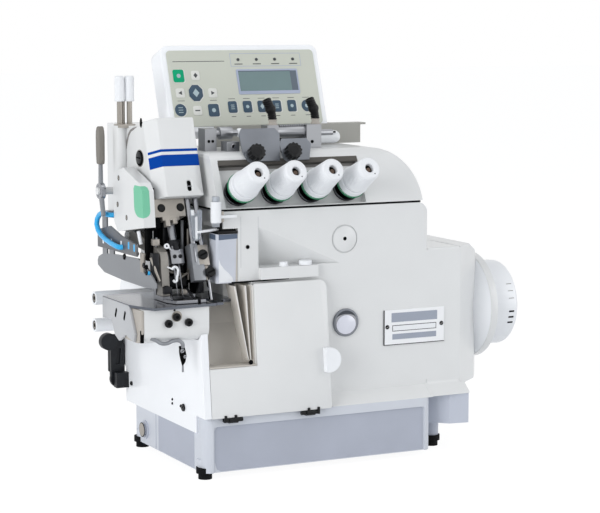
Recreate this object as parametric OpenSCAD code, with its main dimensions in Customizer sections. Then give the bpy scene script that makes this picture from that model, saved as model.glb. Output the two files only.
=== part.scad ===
// Cylinder-bed overlock sewing machine head with direct-drive motor.
// +X runs along the main shaft to the handwheel, -Y faces the operator and +Z is up.
// The origin is on the oil pan's underside, 121 mm from its left end and midway from front to back;
// the rubber cushions reach below it.

/* [Oil pan] */
// Length of the oil pan along the main shaft
pan_len = 242; // [200:1:290]
// Depth of the oil pan from front to back
pan_depth = 178; // [150:1:214]
// Height of the oil pan
pan_h = 52; // [43:1:62]
// Thickness of the pan's walls and floor
pan_wall = 4; // [3:0.5:6]
// How far the rubber cushions reach below the pan
foot_drop = 6.5; // [5:0.5:10]
// Radius of the rubber cushions
foot_r = 8.5; // [7:0.5:10]
// Thread hole radius of the pan's fixing holes
fix_hole_r = 3.4; // [2.8:0.1:4]
// Spacing of the fixing holes along the pan
fix_pitch_x = 180; // [150:1:200]
// Spacing of the fixing holes across the pan
fix_pitch_y = 120; // [100:1:140]

/* [Body casting] */
// Height of the machine bed's top face above the pan's underside
bed_z = 157; // [150:1:162]
// Height of the joint between body and top cover
body_top_z = 242; // [236:1:248]
// Distance of the body's front wall in front of the pan's middle line
body_front = 75; // [72:1:78]
// Thickness of the casting's walls
body_wall = 6; // [5:0.5:7]
// Reach of the cylinder bed to the left of the end cover
bed_reach = 56; // [50:1:62]
// Thickness of the left end cover
end_cover_t = 7; // [6:0.5:8]
// Width of the casting that carries the motor
motor_step = 38; // [32:1:44]

/* [Main shaft and handwheel] */
// Height of the main shaft above the pan's underside
shaft_z = 128.5; // [122:0.5:134]
// Radius of the main shaft
shaft_r = 7; // [6:0.5:8.5]
// Radial running clearance of shafts in their bearings
run_fit = 0.04; // [0.02:0.01:0.08]
// Radius of the handwheel's rim
wheel_r = 43; // [36:1:50]
// Radius of the fixed flange behind the handwheel
flange_r = 54; // [50:1:56]
// Width of the handwheel
wheel_w = 31; // [26:1:37]

/* [Thread tension] */
// Distance between neighbouring tension knobs
knob_pitch = 38; // [34:0.5:38]
// Length of a tension knob
knob_len = 41; // [35:1:48]
// Radius of a tension knob at its foot
knob_r = 15; // [13:0.5:17]
// Lean of the tension panel and its posts from the vertical
panel_lean = 25; // [22:1:28]
// Radius of the tension posts
post_r = 3; // [2.5:0.25:4]

/* [Head and needle] */
// Lean of the head, the needle bar and the control box from the vertical
head_lean = 19; // [17:1:21]
// Width of the head's front cover
head_w = 46; // [44:1:48]
// Height of the head's front cover along its slope
head_h = 76; // [70:1:80]
// Radius of the needle bar
needle_bar_r = 3.6; // [3:0.1:4.2]
// Thickness of the cloth plate
plate_t = 2.5; // [2:0.25:3]

/* [Front cover] */
// Height of the front cover's top edge above the pan's underside
cover_top_z = 174; // [168:1:175]
// Thickness of the front cover
cover_t = 3; // [2.5:0.25:4]
// Radius of the front cover's hinge pins
hinge_pin_r = 2; // [1.7:0.1:2.2]

/* [Control box] */
// Width of the control box
box_w = 170; // [142:1:180]
// Height of the control box along its slope
box_h = 88; // [80:1:104]
// Depth of the control box
box_d = 26; // [22:1:31]

/* [Hidden] */
$fn = 64;
// Gap kept between parts that move past each other
gap = 0.3;
// Small overshoot of cutting shapes
cut = 1;

// ---- derived places ----
pan_left = -121;
pan_right = pan_left + pan_len;
pan_mid = (pan_left + pan_right) / 2;
pan_front = -pan_depth / 2;
pan_back = pan_depth / 2;
end_x = pan_left - 2;
body_left = end_x + end_cover_t;
body_right = pan_right + 1;
body_back = body_front + 5;
motor_x = body_right + motor_step;
housing_end = motor_x + 45;
step_z = shaft_z + 68.5;
shaft_y = -9;
bed_left = end_x - bed_reach;
bed_front = -87;
bed_back = -17;
bed_under = bed_z - 32;
neck_x = -80;
deck_x = -95;
lid_left = -99;
lid_right = body_right - 5;
lid_top = body_top_z + 53;
gasket_t = 2;
lid_z = body_top_z + gasket_t;
front_lean_y = pan_front - 5.5;
front_slope = 0.1086;
plate_z = bed_z + plate_t;

// Front of the sloping front cover at a height
function slope_y(z) = front_lean_y + (z - pan_h) * front_slope;

// ---- shared shapes ----
module rounded_rect(w, h, r) {
    translate([r, 0]) square([w - 2 * r, h]);
    translate([0, r]) square([w, h - 2 * r]);
    for (x = [r, w - r], y = [r, h - r]) translate([x, y]) circle(r);
}

// Points along an arc from angle a0 to angle a1
function arc(x, y, r, a0, a1, n) = [for (i = [0 : n]) let (a = a0 + (a1 - a0) * i / n)
    [x + r * cos(a), y + r * sin(a)]];

// Extrudes a front-view outline (x, z) from y0 to y1
module front_extrude(y0, y1) {
    translate([0, y1, 0]) rotate([90, 0, 0]) linear_extrude(y1 - y0) children();
}

// Extrudes a side-view outline (y, z) from x0 to x1
module side_extrude(x0, x1) {
    translate([x0, 0, 0]) rotate([90, 0, 90]) linear_extrude(x1 - x0) children();
}

// Cylinder along X from x0 to x1
module rod_x(x0, x1, y, z, r) {
    translate([x0, y, z]) rotate([0, 90, 0]) cylinder(h = x1 - x0, r = r);
}

// Cylinder along Y from y0 to y1
module rod_y(x, y0, y1, z, r) {
    translate([x, y1, z]) rotate([90, 0, 0]) cylinder(h = y1 - y0, r = r);
}

// Box from its lowest and highest corners
module box(a, b) {
    translate(a) cube(b - a);
}

// Moves to a point and leans a child back like the head
module leaning(p) {
    translate(p) rotate([-head_lean, 0, 0]) children();
}

// Solid with an upright outline between two local heights
module upright(z0, z1) {
    translate([0, 0, z0]) linear_extrude(z1 - z0) children();
}

// ---- oil pan ----
pan_corner_r = 9;
foot_left = [pan_left + 5, pan_front + 11];
foot_right = [pan_right + 25, -45];
foot_spots = [foot_left, [foot_left.x, -foot_left.y], foot_right, [foot_right.x, 62]];
foot_top = 4.5;
wing_end = motor_x + 6;
wing_bottom = pan_h - 29.5;
boss_h = 12;
port_y = 57;
port_z = 15;
port_r = 9;

module pan_outline(inset) {
    translate([pan_left + inset, pan_front + inset])
        rounded_rect(pan_len - 2 * inset, pan_depth - 2 * inset, pan_corner_r - inset);
}

module fixing_spots() {
    for (x = [-1, 1], y = [-1, 1])
        translate([pan_mid + x * fix_pitch_x / 2, y * fix_pitch_y / 2, 0]) children();
}

module base_pan() {
    color([0.70, 0.72, 0.77]) difference() {
        union() {
            difference() {
                linear_extrude(pan_h) pan_outline(0);
                translate([0, 0, pan_wall]) linear_extrude(pan_h) pan_outline(pan_wall);
            }
            fixing_spots() cylinder(h = boss_h, r = 8);
            // solid corners above the left cushions
            for (s = [foot_spots[0], foot_spots[1]])
                translate([s.x + 2, s.y - sign(s.y) * 2, 0]) cylinder(h = boss_h, r = foot_r);
        }
        fixing_spots() translate([0, 0, -cut]) cylinder(h = boss_h - 2, r = fix_hole_r);
        // sunk front panel
        front_extrude(pan_front - cut, pan_front + 1.8)
            translate([pan_left + pan_corner_r, -10]) rounded_rect(pan_len - 17, pan_h + 1.5, 3);
        rod_x(pan_left - cut, pan_left + pan_wall + cut, port_y, port_z, port_r);
        for (s = [foot_spots[0], foot_spots[1]])
            translate([s.x, s.y, -cut]) cylinder(h = foot_top + cut, r = foot_r);
    }
}

module foot_cushions() {
    color([0.09, 0.09, 0.10]) for (s = foot_spots) translate([s.x, s.y, -foot_drop]) {
        cylinder(h = foot_drop - 1, r = foot_r - 2);
        translate([0, 0, foot_drop - 1]) cylinder(h = foot_top + 1, r = foot_r);
    }
}

// Cast bracket on the pan's right end that stands on the right cushions
module pan_bracket() {
    color([0.66, 0.68, 0.74]) difference() {
        union() {
            upright(wing_bottom, pan_h) polygon([[pan_right, -62], [pan_right + 23, -84],
                [wing_end - 2, -87], [wing_end, -50], [wing_end, 72], [pan_right, 72]]);
            for (s = [foot_spots[2], foot_spots[3]])
                translate([s.x, s.y, foot_top]) cylinder(h = wing_bottom, r = foot_r - 1.5);
        }
        // light pocket under the motor
        box([pan_right + 8, -30, wing_bottom - cut], [wing_end - 8, 46, pan_h - 8]);
    }
}

module drain_plug() {
    color([0.35, 0.36, 0.38]) {
        rod_x(pan_left - 1.5, pan_left + pan_wall + 3, port_y, port_z, port_r);
        rod_x(pan_left - 4, pan_left - 1.5, port_y, port_z, port_r - 3.5);
    }
}

// ---- body casting ----
rib_x = [-60, 60];
rib_t = 8;
bearing_r = 17;
bearing_w = 10;
shaft_left = rib_x[0] - 16;
wheel_x = housing_end + 8;
shaft_right = wheel_x + wheel_w - 9;
opening_right = 2;
corner_r = 10;
arm_left = -151;
arm_front = -12;
arm_back = 78;
arm_top = 318;
arm_under = 226;
ledge_right = 1;
ledge_left = -59;
ledge_bottom = cover_top_z + 3;
ledge_top = ledge_bottom + 11;
ledge_front = -80;
head_at = [arm_left, -54, body_top_z + 14];
head_wall = 3;
head_d = 37;
press_x = [-155, -145];
press_y = 31;
press_r = 2.6;
press_deep = 16;
presser_at = [22, 213];
presser_pin_r = 3.5;
sole_z = plate_z + gap + 5;
lift_x = [-151.5, -143.5];
lever_x = -175;
lever_at = [31, 256];
link_at = [-130, 58.6];
link_bolt_r = 3.5;
link_y = [104.4, 109];
bar_x = 17;
bar_y = 19.4;
knife_rod_x = [32, 40];
knife_rod_y = 9;
knife_rod_r = 2.5;
mech_fit = 0.08;
bed_wall = 4;
bed_round = 12;

// Front-view outline of the hollow body above the pan
module body_outline(inset) {
    left = body_left + inset;
    right = body_right - inset;
    translate([left, pan_h]) square([right - left, bed_z - pan_h - inset]);
    translate([neck_x + inset, bed_z - inset - cut])
        square([right - neck_x - inset, body_top_z - corner_r - bed_z + inset + cut]);
    translate([neck_x + inset, body_top_z - corner_r - cut])
        square([right - corner_r - neck_x - inset, corner_r + cut]);
    translate([body_right - corner_r, body_top_z - corner_r]) circle(corner_r - inset);
}

// Side-view outline of the cylinder bed
module bed_outline(inset) {
    low = bed_under + inset;
    translate([bed_front + inset, low + bed_round])
        square([bed_back - bed_front - 2 * inset, bed_z - inset - low - bed_round]);
    translate([bed_front + inset + bed_round, low])
        square([bed_back - bed_front - 2 * (inset + bed_round), bed_round + cut]);
    for (y = [bed_front + inset + bed_round, bed_back - inset - bed_round])
        translate([y, low + bed_round]) circle(bed_round);
}

// Opening in the bed's top face below the needle plate
deck_hole = [[-149, -81], [-119, -40]];

module head_casting() {
    low = head_wall + gap;
    leaning(head_at) difference() {
        upright(0, head_h - head_wall) polygon([[low, 13.4], [low + 7.6, low],
            [head_w - low, low], [head_w - low, 52], [low, 52]]);
        translate([bar_x, bar_y, -cut]) cylinder(h = head_h, r = needle_bar_r + run_fit);
        for (x = knife_rod_x) translate([x, knife_rod_y, -cut])
            cylinder(h = head_h / 2, r = knife_rod_r + run_fit);
    }
}

// Side-view outline of the flared skirt over the pan's rim
module skirt_outline() {
    polygon([[pan_front, pan_h], [-body_front, pan_h + 11], [-body_front, pan_h]]);
}

module machine_frame() {
    color([0.90, 0.91, 0.90]) difference() {
        union() {
            front_extrude(-body_front, body_back) body_outline(0);
            // flared skirt over the pan's rim
            side_extrude(opening_right + 10, body_right) skirt_outline();
            // shelf with the stitch controls
            box([ledge_left, ledge_front, ledge_bottom], [ledge_right, 1 - body_front, ledge_top]);
            // thickened wall behind the hollow above the shelf
            box([ledge_left - body_wall, -body_front, ledge_bottom + 2], [36, 28 - body_front, 232]);
            // cylinder bed
            side_extrude(bed_left, body_left + cut) bed_outline(0);
            // deck that carries the lid's left end
            box([deck_x, -body_front, arm_under], [neck_x + cut, body_back, body_top_z]);
            // column below the arm
            box([body_left, 12, bed_z - cut], [neck_x + cut, arm_back, arm_under]);
        }
        // looper room, crank room and motor room
        difference() {
            front_extrude(body_wall - body_front, body_back - body_wall) {
                body_outline(body_wall);
                translate([body_left + body_wall, pan_h - cut])
                    square([body_right - body_left - 2 * body_wall, 2 * cut]);
                translate([neck_x + body_wall, body_top_z - 2 * body_wall])
                    square([body_right - neck_x - 2 * body_wall, 3 * body_wall]);
            }
            box([ledge_left - body_wall, -body_front, ledge_bottom + 2], [36, 28 - body_front, 232]);
            for (x = rib_x) box([x - rib_t / 2, -body_front, pan_h], [x + rib_t / 2, body_back, 176]);
            rod_x(body_right - body_wall - 8, body_right, shaft_y, shaft_z, bearing_r + 6);
        }
        // looper opening behind the front cover
        box([body_left + body_wall, -body_front - cut, pan_h + 6],
            [opening_right, body_wall - body_front + cut, bed_z - body_wall]);
        box([neck_x + body_wall, -body_front - cut, bed_z - 2 * body_wall],
            [opening_right, body_wall - body_front + cut, cover_top_z - 2]);
        side_extrude(bed_left - cut, body_left - 3) bed_outline(bed_wall);
        for (a = [lower_looper_at, upper_looper_at])
            rod_y(a.x, bed_back - bed_wall - cut, bed_back + cut, a.y, looper_r + run_fit);
        box([deck_hole[0].x, deck_hole[0].y, bed_z - 2 * body_wall],
            [deck_hole[1].x, deck_hole[1].y, bed_z + cut]);
        // notch that takes the waste chute
        box([body_left, -body_front - cut, chute_bottom - 8],
            [chute_right, chute_back, cover_top_z + 1]);
        // hollow in the front wall above the shelf
        polyhedron([[ledge_left, -body_front - cut, 228], [30, -body_front - cut, ledge_top],
            [ledge_left, -body_front - cut, ledge_top], [ledge_left, 24 - body_front, ledge_top]],
            [[0, 1, 2], [0, 2, 3], [0, 3, 1], [1, 3, 2]]);
        // bearing seats
        for (x = rib_x) rod_x(x - rib_t, x + rib_t, shaft_y, shaft_z, bearing_r);
        rod_x(body_right - 16, body_right + cut, shaft_y, shaft_z, bearing_r);
        // groove around the round plug in the front wall
        difference() {
            rod_y(plug_at.x, -body_front - cut, 1 - body_front, plug_at.y, plug_r + 0.7);
            rod_y(plug_at.x, -body_front - 2 * cut, 2 - body_front, plug_at.y, plug_r);
        }
        // wells of the oil gauge and the two shelf controls
        rod_y(gauge_at.x, -body_front - cut, body_wall - body_front + cut, gauge_at.y, gauge_r);
        translate([button_at.x, button_at.y, ledge_top - 6]) cylinder(h = 7, r = button_r + mech_fit);
        translate([dial_at.x, dial_at.y, ledge_top - 6]) cylinder(h = 7, r = dial_r / 2 + mech_fit);
    }
}

// Arm over the cylinder bed, with the casting inside the head's front cover
module arm_casting() {
    color([0.90, 0.91, 0.90]) difference() {
        union() {
            difference() {
                union() {
                    box([arm_left + 1, arm_front, arm_under], [deck_x, arm_back, body_top_z]);
                    box([arm_left + 1, arm_front, body_top_z - cut],
                        [box_at.x - 1, arm_back, arm_top]);
                    // boss of the two pressure screws
                    for (x = press_x) translate([x, press_y, arm_under + 20])
                        cylinder(h = arm_top - arm_under - 20, r = press_r + 4);
                }
                leaning(head_at) box([-20, -60, -60], [head_w + 20, head_d + gap, head_h + 30]);
            }
            head_casting();
            // lug and pin of the presser arm, pin of the lift lever
            box([lift_x[1] + gap, presser_at.x - 9, presser_at.y - 9],
                [lift_x[1] + 13, presser_at.x + 9, arm_under + cut]);
            rod_x(lift_x[0] - 2, lift_x[1] + 3, presser_at.x, presser_at.y, presser_pin_r);
            rod_x(lever_x - 4, arm_left + 3, lever_at.x, lever_at.y, presser_pin_r);
        }
        for (x = press_x) translate([x, press_y, arm_top - press_deep])
            cylinder(h = press_deep + cut, r = press_r + mech_fit);
    }
}

// Stepped part that carries the motor, and the rim and housing behind the body
module motor_step() {
    color([0.90, 0.91, 0.90]) {
        difference() {
            union() {
                box([body_right, -body_front, pan_h], [motor_x, body_back - 20, step_z]);
                side_extrude(body_right, motor_x + 6) skirt_outline();
            }
            box([body_right - cut, body_wall - body_front, pan_h + 11],
                [motor_x + cut, body_back - 26, step_z - body_wall]);
        }
        box([body_left, body_back, pan_h], [body_right, pan_back, pan_h + 5]);
        side_extrude(body_left, body_left + 52) polygon([[body_back, pan_h], [102, pan_h],
            [102, 63], [126, 96], [126, bed_z - 31], [108, bed_z + 12], [body_back, bed_z + 12]]);
    }
}

// Left end cover: a thick plate with an inclined front edge
module end_cover() {
    color([0.95, 0.96, 0.98]) difference() {
        union() {
            side_extrude(end_x, body_left) polygon([[slope_y(pan_h + 0.5), pan_h + 0.5],
                [slope_y(bed_z), bed_z], [12, bed_z], [12, bed_z + 14], [110, bed_z + 14],
                [128, bed_z - 30], [128, 95], [104, link_at.y + 10.4],
                [104, pan_h + 0.5]]);
            side_extrude(end_x, pan_left)
                polygon([[-73, 36], [104, 36], [104, pan_h + 1], [-73, pan_h + 1]]);
            // lug and bolt that carry the pedal link
            box([link_at.x - 6, 95.5, link_at.y - 7], [end_x + cut, 104, link_at.y + 7]);
            rod_y(link_at.x, 100, 113, link_at.y, link_bolt_r);
            rod_y(link_at.x, link_y[1] + gap, 113, link_at.y, link_bolt_r + 3);
        }
        side_extrude(end_x - cut, body_left + cut) bed_outline(-gap);
        for (t = tube_spots) rod_x(end_x - cut, body_left + cut, t.x, t.y, tube_r + 0.05);
    }
}

// ---- bed fittings ----
plate_hole = [[-152, -86], [-100, -36]];
needle_slot = [[-141, -75], [-127, -60]];
knife_slot = [[-113, -82], [-103, -56]];
feed_rows = [-146, -122];
feed_w = 4;
feed_y = [-73, -43];
feed_room = 2.5;

module bed_cap() {
    color([0.80, 0.79, 0.76]) side_extrude(bed_left - 3, bed_left) bed_outline(0.5);
}

// Needle plate with slots for the feed rows, the needles and the knife
module needle_plate() {
    difference() {
        box([plate_hole[0].x, plate_hole[0].y, bed_z], [plate_hole[1].x, plate_hole[1].y, plate_z]);
        for (r = feed_rows) box([r - feed_w / 2 - 0.5, feed_y[0] - feed_room, bed_z - cut],
            [r + feed_w / 2 + 0.5, feed_y[1] + feed_room, plate_z + cut]);
        box([needle_slot[0].x, needle_slot[0].y, bed_z - cut],
            [needle_slot[1].x, needle_slot[1].y, plate_z + cut]);
        box([knife_slot[0].x, knife_slot[0].y, bed_z - cut],
            [knife_slot[1].x, knife_slot[1].y, plate_z + cut]);
    }
}

// Needle plate and cloth plate, whose left edge is folded down over the bed cap
module cloth_plate() {
    fold_x = bed_left - 5.5;
    color([0.55, 0.56, 0.58]) {
        needle_plate();
        difference() {
            upright(bed_z, plate_z) polygon([[fold_x, 4], [fold_x, -62], [fold_x + 4, -74],
                [-172, -94], [-108, -88], [-92, -68], [neck_x - 2, -68], [neck_x - 2, 4]]);
            box([plate_hole[0].x - gap, plate_hole[0].y - gap, bed_z - cut],
                [plate_hole[1].x + gap, plate_hole[1].y + gap, plate_z + cut]);
            box([-126, arm_front, bed_z - cut], [neck_x + cut, 5, plate_z + cut]);
        }
        difference() {
            side_extrude(fold_x, fold_x + 2) polygon([[4, bed_z], [-62, bed_z], [-77, 134],
                [-74, 127], [-54, 131], [-38, 123], [-28, 127], [-18, 141], [4, 139]]);
            for (y = [-12, -33]) translate([fold_x - cut, y, 146]) rotate([20, 0, 0])
                translate([0, -2, -4]) cube([4, 4, 8]);
        }
    }
}

module feed_dogs() {
    color([0.62, 0.63, 0.65]) {
        for (r = feed_rows) box([r - feed_w / 2, feed_y[0], bed_z - 8],
            [r + feed_w / 2, feed_y[1], plate_z - gap]);
        box([feed_rows[0] - feed_w / 2, feed_y[1] - 8, bed_z - 10],
            [feed_rows[1] + feed_w / 2, feed_y[1], bed_z - 6]);
        // feed bar that runs back to its drive
        box([feed_rows[1] - feed_w / 2, feed_y[1] - 4, bed_z - 18],
            [feed_rows[1] + feed_w / 2, bed_back - bed_wall - 6, bed_z - 9.9]);
    }
}

looper_r = 3;
lower_looper_at = [-160, 140];
upper_looper_at = [-136, 140];
looper_front = bed_front + bed_wall + 3;

// Looper: a shaft in the bed's rear wall, a hub and a hooked blade
module looper(at, reach, rise) {
    rod_y(at.x, looper_front, bed_back, at.y, looper_r);
    rod_y(at.x, looper_front, looper_front + 5, at.y, looper_r + 1.4);
    front_extrude(looper_front, looper_front + 2.5) polygon([[at.x - 1, at.y + 4.2],
        [at.x + reach, at.y + rise], [at.x + reach, at.y + rise - 2.5],
        [at.x + 4.5, at.y - 1]]);
}

module lower_looper() {
    color([0.70, 0.71, 0.73]) looper(lower_looper_at, 17, 7);
}

module upper_looper() {
    color([0.70, 0.71, 0.73]) looper(upper_looper_at, 12, 7);
}

// ---- front cover with its hinge ----
hinge_at = [pan_front - 4, pan_h - 2.2];
hinge_x = [-94, -14];
hinge_w = 9;
ear_w = 5;
cover_left = body_left + gap;
cover_right = 9;
cover_low = pan_h + 1;
chute_right = -67;
chute_bottom = 98;
chute_back = -40;
grip_at = [5.5, 98.5];
grip_r = 12;

module front_cover() {
    top_y = slope_y(cover_top_z);
    low_y = slope_y(cover_low);
    ear_r = hinge_pin_r + 1;
    color([0.91, 0.92, 0.91]) difference() {
        union() {
            difference() {
                side_extrude(cover_left, cover_right) polygon([[low_y, cover_low],
                    [top_y, cover_top_z], [top_y + cover_t, cover_top_z],
                    [low_y + cover_t, cover_low]]);
                box([cover_left - cut, -120, chute_bottom], [chute_right, -60, cover_top_z + cut]);
            }
            // right-hand return flange
            side_extrude(cover_right - cover_t, cover_right) polygon([[low_y + 1, cover_low + 5],
                [top_y + 1, cover_top_z], [-body_front - gap, cover_top_z],
                [-body_front - gap, pan_h + 13], [pan_front + 2, cover_low + 5]]);
            for (x = hinge_x, side = [-1, 1]) translate([x + side * (hinge_w + ear_w) / 2
                    + side * gap - ear_w / 2, 0, 0]) {
                rod_x(0, ear_w, hinge_at.x, hinge_at.y, ear_r);
                box([0, hinge_at.x - ear_r, hinge_at.y], [ear_w, low_y + cover_t, cover_low + 2]);
            }
        }
        for (x = hinge_x) rod_x(x - 2 * hinge_w, x + 2 * hinge_w, hinge_at.x, hinge_at.y,
            hinge_pin_r + run_fit);
    }
}

module cover_grip() {
    y = slope_y(grip_at.y);
    color([0.97, 0.97, 0.96]) difference() {
        translate([grip_at.x, y + 2, grip_at.y]) rotate([90, 0, 0]) cylinder(h = 8.5, r = grip_r);
        translate([grip_at.x - 4, 0, 0]) box([-2 * grip_r, -120, 60], [0, -60, 150]);
        side_extrude(grip_at.x - 20, grip_at.x + 20) polygon([[slope_y(60), 60],
            [slope_y(150), 150], [-60, 150], [-60, 60]]);
    }
}

module hinge_pins() {
    color([0.10, 0.10, 0.11]) for (x = hinge_x) {
        rod_x(x - hinge_w / 2 - ear_w, x + hinge_w / 2 + ear_w, hinge_at.x, hinge_at.y, hinge_pin_r);
        difference() {
            union() {
                rod_x(x - hinge_w / 2, x + hinge_w / 2, hinge_at.x, hinge_at.y, hinge_pin_r + 1);
                box([x - hinge_w / 2, hinge_at.x, hinge_at.y - hinge_pin_r - 1],
                    [x + hinge_w / 2, pan_front, pan_h]);
            }
            box([x - hinge_w, hinge_at.x - 10, pan_h], [x + hinge_w, pan_front + 1, pan_h + 9]);
        }
    }
}

module waste_chute() {
    low = [chute_back - 27, chute_bottom - 6];
    high = [chute_back - 2, cover_top_z - 22];
    color([0.80, 0.79, 0.77]) {
        side_extrude(body_left, chute_right) polygon([low, [low.x + 12, low.y + 26],
            [low.x + 20, low.y + 42], high, [high.x + 1.7, high.y], [low.x + 22, low.y + 41],
            [low.x + 14, low.y + 25], [low.x + 2, low.y - 1]]);
        side_extrude(chute_right - 2.5, chute_right) polygon([
            [slope_y(chute_bottom) + cover_t + 1, chute_bottom],
            [slope_y(cover_top_z - 2) + cover_t + 1, cover_top_z - 2],
            [high.x, cover_top_z - 2], high, [low.x + 20, low.y + 42], [low.x + 12, low.y + 26],
            [low.x, low.y]]);
        // toe that rests behind the front cover
        side_extrude(body_left, chute_right) polygon([low, [low.x + 2, low.y - 1],
            [slope_y(chute_bottom) + cover_t + 2, low.y - 1],
            [slope_y(chute_bottom) + cover_t + 2, low.y + 1], [low.x, low.y + 1]]);
    }
}

// ---- shelf controls ----
button_at = [-33, -74.5];
button_r = 4;
dial_at = [-10, -74.3];
dial_r = 6.2;

module stitch_button() {
    color([0.97, 0.97, 0.97]) {
        translate([button_at.x, button_at.y, ledge_top - 2.5]) cylinder(h = 6.5, r = button_r);
    }
}

module seam_dial() {
    color([0.97, 0.97, 0.97]) {
        translate([dial_at.x, dial_at.y, ledge_top + 0.3]) cylinder(h = 4, r = dial_r);
        translate([dial_at.x, dial_at.y, ledge_top - 5.7]) cylinder(h = 6.2, r = dial_r / 2);
    }
}

// ---- motor, main shaft and handwheel ----
stator_r = 36;
air_gap = 0.6;
stator_w = 26;
stator_x = motor_x + 5;
rotor_r = 22;
flange_w = 7;

module motor_housing() {
    color([0.92, 0.93, 0.94]) difference() {
        union() {
            intersection() {
                upright(pan_h, step_z) polygon([[motor_x, -body_front], [motor_x + 34, -46],
                    [housing_end, -30], [housing_end, body_back - 20], [motor_x, body_back - 20]]);
                front_extrude(-body_front - cut, body_back) polygon([[motor_x, pan_h + 6],
                    [housing_end, pan_h + 6], [housing_end, step_z - 17],
                    [housing_end - 8, step_z - 10], [motor_x + 20, step_z], [motor_x, step_z]]);
            }
            rod_x(housing_end - cut, housing_end + flange_w, shaft_y, shaft_z, flange_r);
        }
        rod_x(motor_x - cut, housing_end - 12, shaft_y, shaft_z, stator_r);
        rod_x(motor_x, housing_end + flange_w + cut, shaft_y, shaft_z, bearing_r);
    }
}

module motor_stator() {
    color([0.45, 0.42, 0.38]) difference() {
        rod_x(stator_x, stator_x + stator_w, shaft_y, shaft_z, stator_r);
        rod_x(stator_x - cut, stator_x + stator_w + cut, shaft_y, shaft_z, rotor_r + air_gap);
    }
}

module motor_rotor() {
    color([0.35, 0.36, 0.38]) difference() {
        rod_x(stator_x, stator_x + stator_w, shaft_y, shaft_z, rotor_r);
        rod_x(stator_x - cut, stator_x + stator_w + cut, shaft_y, shaft_z, shaft_r);
    }
}

module main_shaft() {
    color([0.75, 0.76, 0.78]) {
        rod_x(shaft_left, shaft_right, shaft_y, shaft_z, shaft_r);
        // crank webs for the needle and looper drives
        for (x = [-34, 20]) rod_x(x, x + 12, shaft_y + 5, shaft_z, shaft_r + 6);
    }
}

bearing_x = [rib_x[0] - bearing_w / 2, rib_x[1] - bearing_w / 2, body_right - 14,
    housing_end + flange_w - bearing_w];

module shaft_bearings() {
    color([0.62, 0.63, 0.66]) for (x = bearing_x) difference() {
        rod_x(x, x + bearing_w, shaft_y, shaft_z, bearing_r);
        rod_x(x - cut, x + bearing_w + cut, shaft_y, shaft_z, shaft_r + run_fit);
    }
}

module handwheel() {
    color([0.94, 0.95, 0.96]) translate([wheel_x, shaft_y, shaft_z]) rotate([0, 90, 0]) difference() {
        rotate_extrude() difference() {
            union() {
                square([wheel_r - 5, wheel_w]);
                square([wheel_r, wheel_w - 5]);
                translate([wheel_r - 5, wheel_w - 5]) circle(5);
            }
            translate([-cut, wheel_w - 5]) square([wheel_r - 14 + cut, 10]);
        }
        translate([0, 0, -cut]) cylinder(h = wheel_w - 9 + cut, r = shaft_r);
    }
}

// ---- top cover with the tension panel ----
crest_r = 15;
rear_r = 33;
shoulder_r = 45;
lid_wall = 3;
panel_sink = 6;
panel_x = [-92, 55];
panel_up = [1, 46];
post_up = 17.3;
knob_foot = 15;
crest_z = lid_top - crest_r;
crest_y = -body_front + (crest_r + (crest_z - lid_z) * sin(panel_lean)) / cos(panel_lean);
knob_x = [for (i = [0 : 3]) -76 + i * knob_pitch];

// Side-view outline of the lid, open towards the joint at height low
module lid_side(inset, low) {
    polygon(concat(
        [[-body_front + inset / cos(panel_lean) + (low - lid_z) * tan(panel_lean), low]],
        arc(crest_y, crest_z, crest_r - inset, 180 - panel_lean, 90, 10),
        arc(body_back - rear_r, lid_top - rear_r, rear_r - inset, 90, 0, 12),
        [[body_back - inset, low]]));
}

// Front-view outline of the lid
module lid_front(inset, low) {
    polygon(concat([[lid_left + inset, low]],
        arc(lid_left + 6, lid_top - 6, 6 - inset, 180, 90, 5),
        arc(lid_right - shoulder_r, lid_top - shoulder_r, shoulder_r - inset, 90, 0, 18),
        [[lid_right - inset, low]]));
}

module lid_solid(inset, low) {
    intersection() {
        side_extrude(lid_left, lid_right) lid_side(inset, low);
        front_extrude(-120, 120) lid_front(inset, low);
    }
}

// Places a child on the tension panel, local Z pointing out of it
module on_panel(x, up) {
    translate([x, -body_front, lid_z]) rotate([-panel_lean, 0, 0])
        translate([0, panel_sink, up]) rotate([90, 0, 0]) children();
}

module panel_pocket(grow) {
    translate([0, -body_front, lid_z]) rotate([-panel_lean, 0, 0])
        box([panel_x[0] - grow, -20, panel_up[0] - grow],
            [panel_x[1] + grow, panel_sink + grow, panel_up[1] + grow]);
}

module top_cover() {
    color([0.90, 0.91, 0.90]) difference() {
        lid_solid(0, lid_z);
        difference() {
            lid_solid(lid_wall, lid_z - cut);
            panel_pocket(lid_wall);
        }
        panel_pocket(0);
    }
}

module cover_gasket() {
    color([0.10, 0.10, 0.11]) difference() {
        box([lid_left + 1, 1 - body_front, body_top_z], [lid_right - 2, body_back - 1, lid_z]);
        box([lid_left + 9, 9 - body_front, body_top_z - cut],
            [lid_right - 12, body_back - 9, lid_z + cut]);
    }
}

module tension_posts() {
    color([0.72, 0.73, 0.75]) for (x = knob_x) on_panel(x, post_up) {
        cylinder(h = knob_foot + knob_len - 12, r = post_r);
        cylinder(h = 2.5, r = 9);
        translate([0, 0, 2.5]) cylinder(h = 0.8, r = 13);
        translate([0, 0, 3.9]) cylinder(h = 0.8, r = 13);
        translate([0, 0, 2.5]) cylinder(h = 2.2, r = 5);
    }
}

module tension_springs() {
    color([0.10, 0.62, 0.38]) for (x = knob_x) on_panel(x, post_up) rotate_extrude()
        polygon([[3.9, 4.7], [6, 4.7], [7, 5.8], [6.4, 6.8], [7.8, 8], [7, 9], [8.4, 10.2],
            [7.8, 11.4], [5.6, 11.4], [4.6, 9], [3.9, 6.8]]);
}

// Radius of the knob's collar, which stays clear of the next knob's
collar_r = min(knob_r + 1, (knob_pitch - gap) / 2);

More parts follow.
